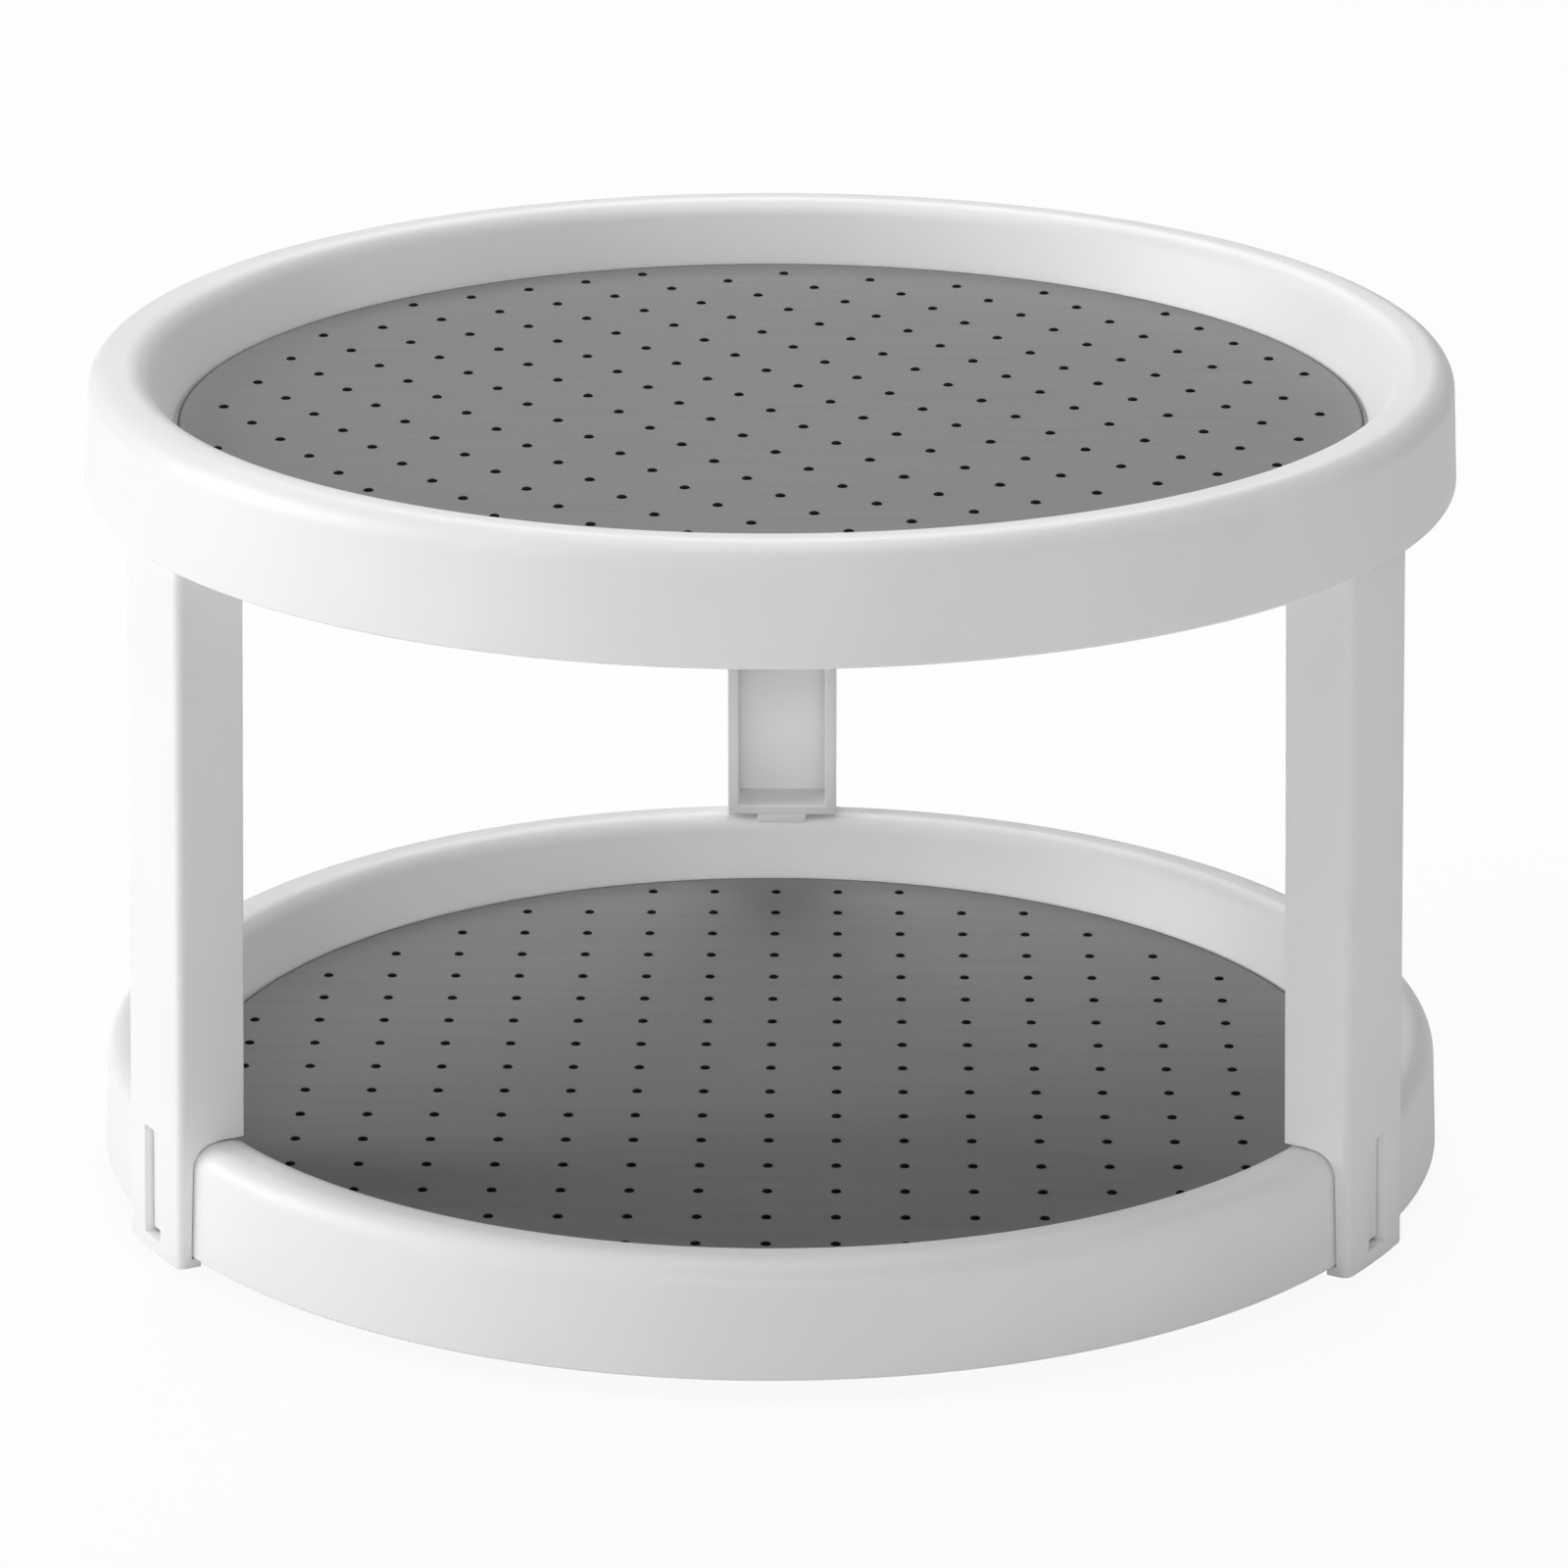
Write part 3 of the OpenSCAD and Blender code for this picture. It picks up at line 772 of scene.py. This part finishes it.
@dataclass
class LowerTray(Tray):
    """The lower tray, with the race ring, the pivot boss and stiffening ribs under its floor.

    A catch on its rim stands in the slot of each leg and locks it.

    Args:
        race_r: Radius of the ball race.
        race_w: Width of the race ring.
        ring_h: How far the race ring hangs below the floor.
        groove_r: Radius of the groove's round.
        groove_z: Height of the groove's centre above the table.
        boss_r: Radius of the pivot boss.
        boss_end_z: Height of the boss's end above the table.
        hole_r: Radius of the screw's hole.
        hole_z: Height of the hole's blind end above the table.
        rib_t: Thickness of the stiffening ribs.
        rib_h: Height of the stiffening ribs.
        rib_count: Number of the stiffening ribs.
        rib_start: Radius where the ribs start.
        catch_w: Width of a catch.
        catch_r: Radius of a catch's face at the skirt edge.
        catch_lean: How far that face leans in over the rim's height.
        catch_z: Heights of a catch's ends above the skirt edge.
    """

    race_r: float = 92.0
    race_w: float = 10.0
    ring_h: float = 3.2
    groove_r: float = 3.3
    groove_z: float = 8.05
    boss_r: float = 8.0
    boss_end_z: float = 4.7
    hole_r: float = 2.05
    hole_z: float = 12.3
    rib_t: float = 2.0
    rib_h: float = 3.0
    rib_count: int = 12
    rib_start: float = 14.4
    catch_w: float = 7.1
    catch_r: float = 153.2
    catch_lean: float = 0.61
    catch_z: tuple[float, float] = (2.0, 25.6)

    def under_rows(self) -> list[tuple[float, float, float]]:
        """Rows from the screw's hole over the boss, the floor and the race ring."""
        under = self.floor_h - self.floor_t
        ring = under - self.ring_h
        inner, outer = self.race_r - self.race_w / 2, self.race_r + self.race_w / 2
        reach = math.sqrt(self.groove_r**2 - (ring + self.skirt_z - self.groove_z) ** 2)
        centre = self.groove_z - self.skirt_z
        start = math.asin((ring - centre) / self.groove_r)
        arc = np.linspace(np.pi - start, start, 13)[1:-1]
        groove = [
            (self.race_r + self.groove_r * math.cos(a), centre + self.groove_r * math.sin(a), 0) for a in arc
        ]
        return [
            (0, self.hole_z - self.skirt_z, 0),
            (self.hole_r, self.hole_z - self.skirt_z, 0.1),
            (self.hole_r, self.boss_end_z - self.skirt_z, 0.2),
            (self.boss_r, self.boss_end_z - self.skirt_z, 0.4),
            (self.boss_r, under, 0.5),
            (inner, under, 0.5),
            (inner, ring, 0.4),
            (self.race_r - reach, ring, 0.1),
            *groove,
            (self.race_r + reach, ring, 0.1),
            (outer, ring, 0.4),
            (outer, under, 0.5),
        ]

    def ribs(self) -> list[Skin]:
        """Makes the two rings of radial ribs, inside and outside the race."""
        top = self.skirt_z + self.floor_h - self.floor_t / 2
        low = self.skirt_z + self.floor_h - self.floor_t - self.rib_h
        turns = (np.arange(self.rib_count) + 0.5) * 360 / self.rib_count
        inner = radial_bars(turns, self.rib_start, self.race_r - self.race_w / 2 + 0.5, low, top, self.rib_t)
        outer_from = self.race_r + self.race_w / 2 - 0.5
        outer = radial_bars(turns, outer_from, self.bowl_r - self.wall, low, top, self.rib_t)
        return inner + outer

    def catches(self) -> list[Skin]:
        """Makes the catches: their outline across, whose back runs inside the skirt and the shoulder."""
        low, high = self.catch_z
        half = self.wall / 2
        across = outline([
            (self.skirt_at(low) - half, low, 0),
            (self.catch_r - self.catch_lean * low / self.rim_h, low, 0),
            (self.catch_r - self.catch_lean * high / self.rim_h, high, 0),
            (self.shoulder_r - self.shoulder_round, high, 0),
            (self.shoulder_r - self.shoulder_round, self.rim_h - half, 0),
            (self.skirt_at(self.rim_h - half) - half, self.rim_h - half, self.shoulder_round - half),
        ])
        u = np.broadcast_to(across[:, 0], (2, len(across)))
        v = np.broadcast_to(np.array([[-self.catch_w], [self.catch_w]]) / 2, u.shape)
        z = np.broadcast_to(across[:, 1] + self.skirt_z, u.shape)
        catch = Skin(np.stack([u, v, z], axis=-1), Ends.CAPPED)
        return [turned(catch, turn) for turn in LEG_TURNS.values()]

    def build(self) -> None:
        """Builds the shell, its ribs and its catches."""
        super().build()
        Piece(f"{self.node}_catches", self.catches(), self.material, Body.TURNTABLE, Slot.WHITE,
            shading=Shading.BEVELLED, bevel_mm=0.3).build()


@dataclass
class GripMat:
    """A grey grip mat with a square grid of raised black dots, one of them at its centre.

    Args:
        node: The CAD node that it replaces.
        sheet: Material of the sheet.
        dot: Material of the dots.
        turn: How far the mat is turned in its tray, in degrees.
        thick: Thickness of the sheet.
        pitch: Distance from one dot to the next.
        dot_d: Diameter of a dot.
        dot_h: Height of a dot above the sheet.
        border: Plain border outside the last dots.
        edge_round: Rounding of the sheet's cut edge.
        dot_sides: Steps round a dot.
        segments: Steps round the sheet.
    """

    node: str
    sheet: bpy.types.Material
    dot: bpy.types.Material
    turn: float
    thick: float = 1.5
    pitch: float = 15.1
    dot_d: float = 2.3
    dot_h: float = 0.5
    border: float = 5.5
    edge_round: float = 0.35
    dot_sides: int = 14
    segments: int = 192
    low_z: float = field(init=False)
    radius: float = field(init=False)

    def __post_init__(self) -> None:
        """Reads the mat's height and radius from the frame."""
        self.low_z = float(NodeBox.of(self.node).low[2])
        self.radius = NodeBox.of(self.node).radius

    def sheet_skin(self) -> Skin:
        """Turns the sheet's section about the axis."""
        section = outline(
            [
                (0, 0, 0),
                (self.radius, 0, self.edge_round),
                (self.radius, self.thick, self.edge_round),
                (0, self.thick, 0),
            ],
            closed=False,
            steps=5,
        )
        section[:, 1] += self.low_z
        return revolved(section, self.segments, Ends.OPEN)

    def centres(self) -> np.ndarray:
        """Places of the dots: whole steps of the grid inside the plain border, turned as the mat is."""
        limit = self.radius - self.border
        span = math.ceil(limit / self.pitch)
        steps = np.arange(-span, span + 1) * self.pitch
        grid = np.stack(np.meshgrid(steps, steps, indexing="ij"), axis=-1).reshape(-1, 2)
        grid = grid[np.hypot(grid[:, 0], grid[:, 1]) < limit]
        c, s = math.cos(math.radians(self.turn)), math.sin(math.radians(self.turn))
        return grid @ np.array([[c, s], [-s, c]])

    def dot_skins(self) -> list[Skin]:
        """Makes the dots: a low dome with a round foot, the same on each place of the grid."""
        r, h, top = self.dot_d / 2, self.dot_h, self.low_z + self.thick
        bend = np.radians([90, 62, 34, 12, 0])
        # The dome is an ellipse: radius r sin(bend), height h cos(bend) above the sheet
        dome = np.stack([r * np.sin(bend), top + h * np.cos(bend)], axis=1)
        profile = np.concatenate([[[0, top - h / 2]], [[r, top - h / 2]], dome])
        return [revolved(profile, self.dot_sides, Ends.OPEN, centre) for centre in self.centres()]

    def build(self) -> None:
        """Builds the sheet and the dots."""
        Piece(
            f"{self.node}_sheet", [self.sheet_skin()], self.sheet, Body.TURNTABLE, Slot.MAT, (self.node,)
        ).build()
        Piece(f"{self.node}_dots", self.dot_skins(), self.dot, Body.TURNTABLE, Slot.MAT).build()


@dataclass
class Leg:
    """A channel-section leg that straddles the lower rim and plugs into the upper one.

    Its surface is one grid. Each row is the channel's plan at a height, with its points kept
    outside the rim's envelope, and with the channel filled where the leg has a wall across it.
    In the leg's own frame u runs out from the spin axis, v runs across, and z is counted from the
    lower skirt edge.

    Args:
        node: The CAD node that it replaces.
        material: Its plastic.
        lower: The tray that carries it.
        top_z: Height of the upper skirt edge above the table.
        width: Width across.
        depth: Depth from the open side to the outer face.
        proud: How far the outer face stands out from the lower skirt edge.
        lean: How far the leg leans in over one tier.
        face_curve: Radius of the outer face's curve across its width.
        face_t: Thickness of the outer wall at its middle.
        side_t: Thickness of the side walls.
        floor_t: Thickness of the bottom wall.
        end_t: Thickness of the head.
        outer_round: Rounding of the outer corners.
        seat_gap: Height of the bottom wall above the crown.
        seat_w: Width of the tab on the crown.
        foot_drop: How far the leg reaches below the skirt edge.
        hook_reach: How far the hook reaches in under the skirt edge.
        hook_gap: Clearance between the hook and the skirt edge.
        rim_gap: Clearance between the leg and the rim.
        face_at: Distances from the middle at which the outer face has more points, for its curve.
        slot_w: Width of the slot.
        slot_sill: Height of the slot's lower end above the foot.
        plug_h: Height of the plug.
        plug_w: Width of the plug.
        plug_wall: Wall of the plug.
        plug_u: Radius of the plug's inner face.
        plug_back: Gap between the plug's outer face and the skirt's inner face.
    """

    node: str
    material: bpy.types.Material
    lower: Tray
    top_z: float
    width: float = 26.7
    depth: float = 16.2
    proud: float = 3.2
    face_curve: float = 150.0
    lean: float = 3.7
    face_t: float = 3.4
    side_t: float = 2.7
    floor_t: float = 2.5
    end_t: float = 2.1
    outer_round: float = 1.8
    seat_gap: float = 0.3
    seat_w: float = 12.0
    foot_drop: float = 2.3
    hook_reach: float = 2.0
    hook_gap: float = 0.1
    rim_gap: float = 0.15
    face_at: tuple[float, float] = (6.3, 8.8)
    slot_w: float = 7.6
    slot_sill: float = 3.3
    plug_h: float = 12.0
    plug_w: float = 20.0
    plug_wall: float = 2.0
    plug_u: float = 139.2
    plug_back: float = 1.6

    @property
    def height(self) -> float:
        """Height of the leg's head above the lower skirt edge."""
        return self.top_z - self.lower.skirt_z

    def plan(self) -> tuple[np.ndarray, np.ndarray]:
        """Plan of the channel, with the middle of its outer face on u = 0.

        The outer face and its corners fall back by R - sqrt(R squared - v squared) at v across.

        Returns:
            The plan's points, and a mask of those that line the channel.
        """
        half, mouth, slot = self.width / 2, self.width / 2 - self.side_t, self.slot_w / 2
        near, far = self.face_at
        ring = outline([
            (0, -half, self.outer_round),
            *((0, v, 0) for v in (-far, -near, -slot, slot, near, far)),
            (0, half, self.outer_round),
            (-self.depth, half, 0),
            (-self.depth, mouth, 0),
            *((-self.face_t, v, 0) for v in (mouth, slot, -slot, -mouth)),
            (-self.depth, -mouth, 0),
            (-self.depth, -half, 0),
        ], steps=6)
        inside = (np.abs(ring[:, 1]) < mouth + 1e-6) & (ring[:, 0] < -self.outer_round)
        fall = self.face_curve - np.sqrt(self.face_curve**2 - ring[:, 1] ** 2)
        ring[:, 0] -= np.where(ring[:, 0] > -self.outer_round - 1e-6, fall, 0)
        return ring, inside

    def envelope(self, z: np.ndarray) -> np.ndarray:
        """Radius that the leg keeps outside of, at heights from the skirt edge up to the bottom wall.

        It follows the rim's draft, and a quarter round of the shoulder's radius takes it in under
        the bottom wall.
        """
        top = self.lower.rim_h + self.seat_gap
        wall = self.lower.outer_r + self.rim_gap - self.lower.rim_draft * z / self.lower.rim_h
        rise = np.clip((z - (top - self.lower.shoulder_round)) / self.lower.shoulder_round, 0, 1)
        return wall - self.lower.shoulder_round * (1 - np.sqrt(1 - rise**2))

    def rows(self) -> np.ndarray:
        """Rows of the grid from the foot up: height, envelope radius, channel open, slot open."""
        rim_h, hook_r = self.lower.rim_h, self.lower.outer_r - self.hook_reach
        ceiling = rim_h + self.seat_gap
        sill = self.slot_sill - self.foot_drop
        start = ceiling - self.lower.shoulder_round
        quarter = np.sin(np.radians([0, 15, 30, 45, 60, 74, 90]))
        straight = [-self.hook_gap, sill, rim_h / 3, 2 * rim_h / 3]
        heights = np.concatenate([straight, start + (ceiling - start) * quarter])
        slot = (heights > sill - 1e-6).astype(float)
        straddle = np.stack([heights, self.envelope(heights), np.ones_like(heights), slot], axis=1)
        floor, cap = ceiling + self.floor_t, self.height - self.end_t
        low = [[-self.foot_drop, hook_r, 0, 0], [-self.hook_gap, hook_r, 0, 0]]
        middle = self.height / 2
        closed_at = [(ceiling, 0), (floor, 0), (floor, 1), (middle, 1), (cap, 1), (cap, 0), (self.height, 0)]
        high = [[z, 0, is_open, 0] for z, is_open in closed_at]
        return np.concatenate([low, straddle, high])

    def column(self) -> Skin:
        """Works out the grid and cuts the slot through it."""
        ring, inside = self.plan()
        rows = self.rows()
        z, limit, is_open = rows[:, :1], rows[:, 1:2], rows[:, 2:3]
        u = np.where(inside & (is_open < 0.5), -self.depth, ring[:, 0])
        u = u + self.lower.outer_r + self.proud - self.lean * z / self.height
        v = np.broadcast_to(ring[:, 1], u.shape)
        kept_out = np.sqrt(np.maximum(limit**2 - v**2, 0))
        u = np.maximum(u, kept_out)
        points = np.stack([u, v, np.broadcast_to(z + self.lower.skirt_z, u.shape)], axis=-1)
        at = np.flatnonzero(np.isclose(np.abs(ring[:, 1]), self.slot_w / 2))
        front, back = at[:2], at[2:]
        cut = np.flatnonzero(rows[:, 3] > 0.5)
        low, high = int(cut[0]), int(cut[-1])
        dropped = np.zeros((len(rows) - 1, len(ring)), bool)
        dropped[low:high, front[0]] = True
        dropped[low:high, back[0]] = True
        return Skin(points, Ends.CAPPED, dropped, self.slot_walls(points, front, back, low, high))

    def slot_walls(
        self, points: np.ndarray, front: np.ndarray, back: np.ndarray, low: int, high: int
    ) -> np.ndarray:
        """Joins the slot's outline on the outer face to its outline on the inner face.

        Args:
            points: The grid.
            front: Columns of the slot's two sides on the outer face.
            back: Columns of the same sides on the inner face, in the other order.
            low: Row of the sill.
            high: Row of the slot's head.

        Returns:
            The walls' quads.
        """
        rows = np.arange(low, high)
        sides = [
            np.stack([points[rows, f], points[rows + 1, f], points[rows + 1, b], points[rows, b]], axis=1)
            for f, b in zip(front, back[::-1])
        ]
        ends = [
            np.stack([points[row, at] for at in (front[0], front[1], back[0], back[1])])[None]
            for row in (low, high)
        ]
        return np.concatenate(sides + ends)

    def seat(self) -> Skin:
        """Makes the tab: its outline across, from the crown and the lip's round up to the bottom wall."""
        tray = self.lower
        face = tray.outer_r + self.proud - self.lean * tray.rim_h / self.height - self.depth
        half_turn = (math.pi - math.atan2(tray.rim_h - tray.floor_h, tray.bowl_lean)) / 2
        centre_r = tray.lip_r + tray.lip_round / math.tan(half_turn)
        centre_z = tray.rim_h - tray.lip_round
        start = math.acos((face - centre_r) / tray.lip_round)
        arc = np.linspace(start, math.pi / 2, 6)
        across, up = tray.lip_round * np.cos(arc), tray.lip_round * np.sin(arc)
        lap = np.stack([centre_r + across, centre_z + up], axis=1)
        outer = tray.shoulder_r - tray.shoulder_round
        top = tray.rim_h + self.seat_gap + 0.2
        section = np.concatenate([lap, [[outer, tray.rim_h], [outer, top], [face, top]]])
        across = np.array([-self.seat_w / 2, self.seat_w / 2])
        u = np.broadcast_to(section[:, 0], (2, len(section)))
        z = np.broadcast_to(section[:, 1] + tray.skirt_z, u.shape)
        return Skin(np.stack([u, np.broadcast_to(across[:, None], u.shape), z], axis=-1), Ends.CAPPED)

    def plug(self) -> Skin:
        """Makes the hollow plug: an outer wall up, over its edge, and down into its pocket."""
        half, outer = self.plug_w / 2, self.lower.outer_r - self.lower.wall - self.plug_back
        around = np.array([[self.plug_u, -half], [outer, -half], [outer, half], [self.plug_u, half]])
        middle = around.mean(axis=0)
        size = np.array([outer - self.plug_u, self.plug_w])
        pocket = middle + (around - middle) * (size - 2 * self.plug_wall) / size
        loops = np.stack([around, around, pocket, pocket])
        z = self.top_z + np.array([-0.5, self.plug_h, self.plug_h, self.plug_wall])
        heights = np.broadcast_to(z[:, None, None], (4, len(around), 1))
        return Skin(np.concatenate([loops, heights], axis=-1), Ends.CAPPED)

    def build(self) -> None:
        """Builds the leg and turns it to its place."""
        turn = LEG_TURNS[self.node]
        skins = [turned(skin, turn) for skin in (self.column(), self.seat(), self.plug())]
        Piece(f"{self.node}_channel", skins, self.material, Body.TURNTABLE, Slot.WHITE, (self.node,),
            shading=Shading.BEVELLED, bevel_mm=0.4).build()


@dataclass
class Base:
    """The base: its plate, rubber feet and hub stay hidden behind the skirt.

    Args:
        plastic: Material of the plate.
        rubber: Material of the feet.
        foot_count: Number of feet.
        foot_round: Rounding of a foot's lower edge.
        ridge_count: Number of grip ridges on a foot.
        ridge_h: Height of a ridge.
    """

    plastic: bpy.types.Material
    rubber: bpy.types.Material
    foot_count: int = 6
    foot_round: float = 0.5
    ridge_count: int = 4
    ridge_h: float = 0.25

    def foot(self, node: str) -> Skin:
        """Turns a foot's section: a low pad with round ridges round its middle.

        The underside's height is ridge_h times (1 + cos) / 2 of the distance out, one wave per
        ridge, so that the ridges' tops touch the table.
        """
        box = NodeBox.of(node)
        centre = (box.low[:2] + box.high[:2]) / 2
        radius, top = box.radius, float(box.high[2])
        across = np.linspace(0, radius - 1.2, self.ridge_count * 8 + 1)
        wave = self.ridge_h * (1 + np.cos(2 * np.pi * across / across[-1] * self.ridge_count)) / 2
        under = np.stack([across, float(box.low[2]) + self.ridge_h - wave], axis=1)
        corners = [(radius - 1.2, 0, 0), (radius, 0, self.foot_round), (radius, top, 0.2), (0, top, 0)]
        rim = outline(corners, closed=False, steps=4)
        return revolved(np.concatenate([under, rim[1:]]), 64, Ends.OPEN, centre)

    def build(self) -> None:
        """Dresses the plate and builds the feet."""
        dress("base_plate", self.plastic)
        for i in range(1, self.foot_count + 1):
            node = f"foot_{i}"
            Piece(f"{node}_pad", [self.foot(node)], self.rubber, Body.BASE, Slot.FOOT, (node,)).build()


@dataclass
class Bearing:
    """The ball race and the pivot, whose CAD shapes are right as they are.

    Args:
        finishes: All materials.
        ball_count: Number of balls.
    """

    finishes: Finishes
    ball_count: int = 12

    def build(self) -> None:
        """Gives each piece its material."""
        dress("ball_cage", self.finishes.cage)
        for node in ("pivot_screw", "pivot_washer"):
            dress(node, self.finishes.steel)
        for i in range(1, self.ball_count + 1):
            dress(f"ball_{i}", self.finishes.steel)


def dress(node: str, material: bpy.types.Material) -> None:
    """Puts a material on a CAD node that is shown as it is.

    Args:
        node: Name of the node.
        material: Its material.
    """
    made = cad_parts[node]
    for part in made.material_slots:
        part.material = material
    log.info("%s: CAD shape, %s", node, material.name)


# ---- Studio ---------------------------------------------------------------------------------


@dataclass(frozen=True)
class Lamp:
    """A soft rectangular lamp that faces the turntable.

    Args:
        name: Its name.
        azimuth: Direction from the turntable, in degrees: 0 is the front, 90 is the right.
        elevation: Height above the horizon, in degrees.
        distance: Distance from the turntable, in metres.
        size: Width and height, in metres.
        power: Power, in watts.
        spread: Angle of the beam, in degrees: 180 is bare, less is a lamp behind a grid.
        aim_z: Height that it faces, in metres, or none for the turntable's middle.
    """

    name: str
    azimuth: float
    elevation: float
    distance: float
    size: tuple[float, float]
    power: float
    spread: float = 180.0
    aim_z: float | None = None

    def build(self, aim: Vector) -> None:
        """Makes the lamp and turns it to its aim."""
        data = bpy.data.lights.new(self.name, "AREA")
        data.shape = "RECTANGLE"
        data.size, data.size_y = self.size
        data.energy = self.power
        data.spread = math.radians(self.spread)
        made = bpy.data.objects.new(self.name, data)
        bpy.context.scene.collection.objects.link(made)
        back = direction(self.azimuth, self.elevation)
        faced = aim if self.aim_z is None else Vector((aim.x, aim.y, self.aim_z))
        made.location = faced + back * self.distance
        made.rotation_euler = (-back).to_track_quat("-Z", "Y").to_euler()


def direction(azimuth: float, elevation: float) -> Vector:
    """Unit vector from the turntable towards an azimuth and an elevation in degrees."""
    a, e = math.radians(azimuth), math.radians(elevation)
    return Vector((math.sin(a) * math.cos(e), -math.cos(a) * math.cos(e), math.sin(e)))


@dataclass(frozen=True)
class Studio:
    """A white table and backdrop, soft lamps and the camera.

    Args:
        lamps: The lamps.
        ambient: Strength of the light that comes from all round.
        floor_size: Width of the table, in metres.
        table_share: Share of plain white in what the camera sees of the table. The rest is the
            table's own lit colour, which keeps a soft shadow.
    """

    lamps: tuple[Lamp, ...] = (
        Lamp("side_left", -90, 22, 2.4, (1.4, 1.4), 34),
        Lamp("high_left", -60, 45, 2.4, (1.4, 1.4), 5.1),
        Lamp("side_right", 85, 25, 2.4, (1.4, 1.4), 9.0),
        Lamp("back", 180, 45, 2.4, (1.4, 1.4), 20.5),
        Lamp("top", 0, 88, 2.4, (1.4, 1.4), 20),
        Lamp("low_front", 0, 8, 2.4, (1.4, 0.5), 12.0),
        Lamp("low_left", -50, 8, 2.4, (1.2, 0.6), 2.8),
        Lamp("between_tiers", 0, 0, 1.5, (0.01, 0.01), 0.0004, 1.6, 0.05),
    )
    ambient: float = 0.0
    floor_size: float = 30.0
    table_share: float = 0.93

    def seen_by_eye(self, tree: Tree) -> Socket:
        """Value that is 1 for what the camera sees straight, and 0 for light."""
        return add(tree, "ShaderNodeLightPath").outputs["Is Camera Ray"]

    def world(self) -> None:
        """Makes the surroundings: plain white to the eye, and a soft even light."""
        made = bpy.data.worlds.new("studio")
        bpy.context.scene.world = made
        made.use_nodes = True
        tree = made.node_tree
        tree.nodes.clear()
        light = add(tree, "ShaderNodeBackground", {"Color": linear("#ffffff"), "Strength": self.ambient})
        white = add(tree, "ShaderNodeBackground", {"Color": linear("#ffffff"), "Strength": 1.0})
        parts = {0: self.seen_by_eye(tree), 1: light.outputs[0], 2: white.outputs[0]}
        both = add(tree, "ShaderNodeMixShader", parts)
        add(tree, "ShaderNodeOutputWorld", {"Surface": both.outputs[0]})

    def table(self) -> None:
        """Makes the table that the feet stand on."""
        half = self.floor_size / 2
        mesh = bpy.data.meshes.new("table")
        corners = [(-half, -half, 0), (half, -half, 0), (half, half, 0), (-half, half, 0)]
        mesh.from_pydata(corners, [], [(0, 1, 2, 3)])
        made = bpy.data.objects.new("table", mesh)
        bpy.context.scene.collection.objects.link(made)
        material = bpy.data.materials.new("white_paper")
        material.use_nodes = True
        tree = material.node_tree
        tree.nodes.clear()
        paper = add(tree, "ShaderNodeBsdfDiffuse", {"Color": linear("#f4f4f4")})
        white = add(tree, "ShaderNodeEmission", {"Color": linear("#ffffff"), "Strength": 1.0})
        factors = {0: self.seen_by_eye(tree), 1: self.table_share}
        share = add(tree, "ShaderNodeMath", factors, operation="MULTIPLY")
        parts = {0: share.outputs[0], 1: paper.outputs[0], 2: white.outputs[0]}
        both = add(tree, "ShaderNodeMixShader", parts)
        add(tree, "ShaderNodeOutputMaterial", {"Surface": both.outputs[0]})
        mesh.materials.append(material)

    def camera(self) -> None:
        """Makes the camera: a long lens, a little above the turntable and almost straight ahead."""
        data = bpy.data.cameras.new("camera")
        data.lens, data.sensor_width = 160.6, 36.0
        data.shift_x, data.shift_y = 0.0084, 0.0022
        data.clip_start, data.clip_end = 0.05, 100
        made = bpy.data.objects.new("camera", data)
        bpy.context.scene.collection.objects.link(made)
        back = direction(1.12, 18.64)
        made.location = Vector((0, 0, 0.085)) + back * 1.582
        made.rotation_euler = (-back).to_track_quat("-Z", "Y").to_euler()
        bpy.context.scene.camera = made

    def build(self) -> None:
        """Builds the studio."""
        self.world()
        self.table()
        self.camera()
        middle = (CAD_BOX[0] + CAD_BOX[1]) / 2
        for lamp in self.lamps:
            lamp.build(middle)
        bpy.context.scene.view_settings.view_transform = "Standard"


def main() -> None:
    """Builds the turntable and its studio."""
    logging.basicConfig(level=logging.INFO, format="%(message)s")
    finishes = Finishes.made()
    upper = UpperTray("upper_tray", finishes.tray)
    lower = LowerTray("lower_tray", finishes.tray)
    upper.build()
    lower.build()
    GripMat("upper_mat", finishes.upper_sheet, finishes.dot, turn=29.4).build()
    GripMat("lower_mat", finishes.lower_sheet, finishes.dot, turn=0.5).build()
    for node in LEG_TURNS:
        Leg(node, finishes.tray, lower, upper.skirt_z).build()
    Base(finishes.tray, finishes.foot).build()
    Bearing(finishes).build()
    Studio().build()


if __name__ == "__main__":
    main()
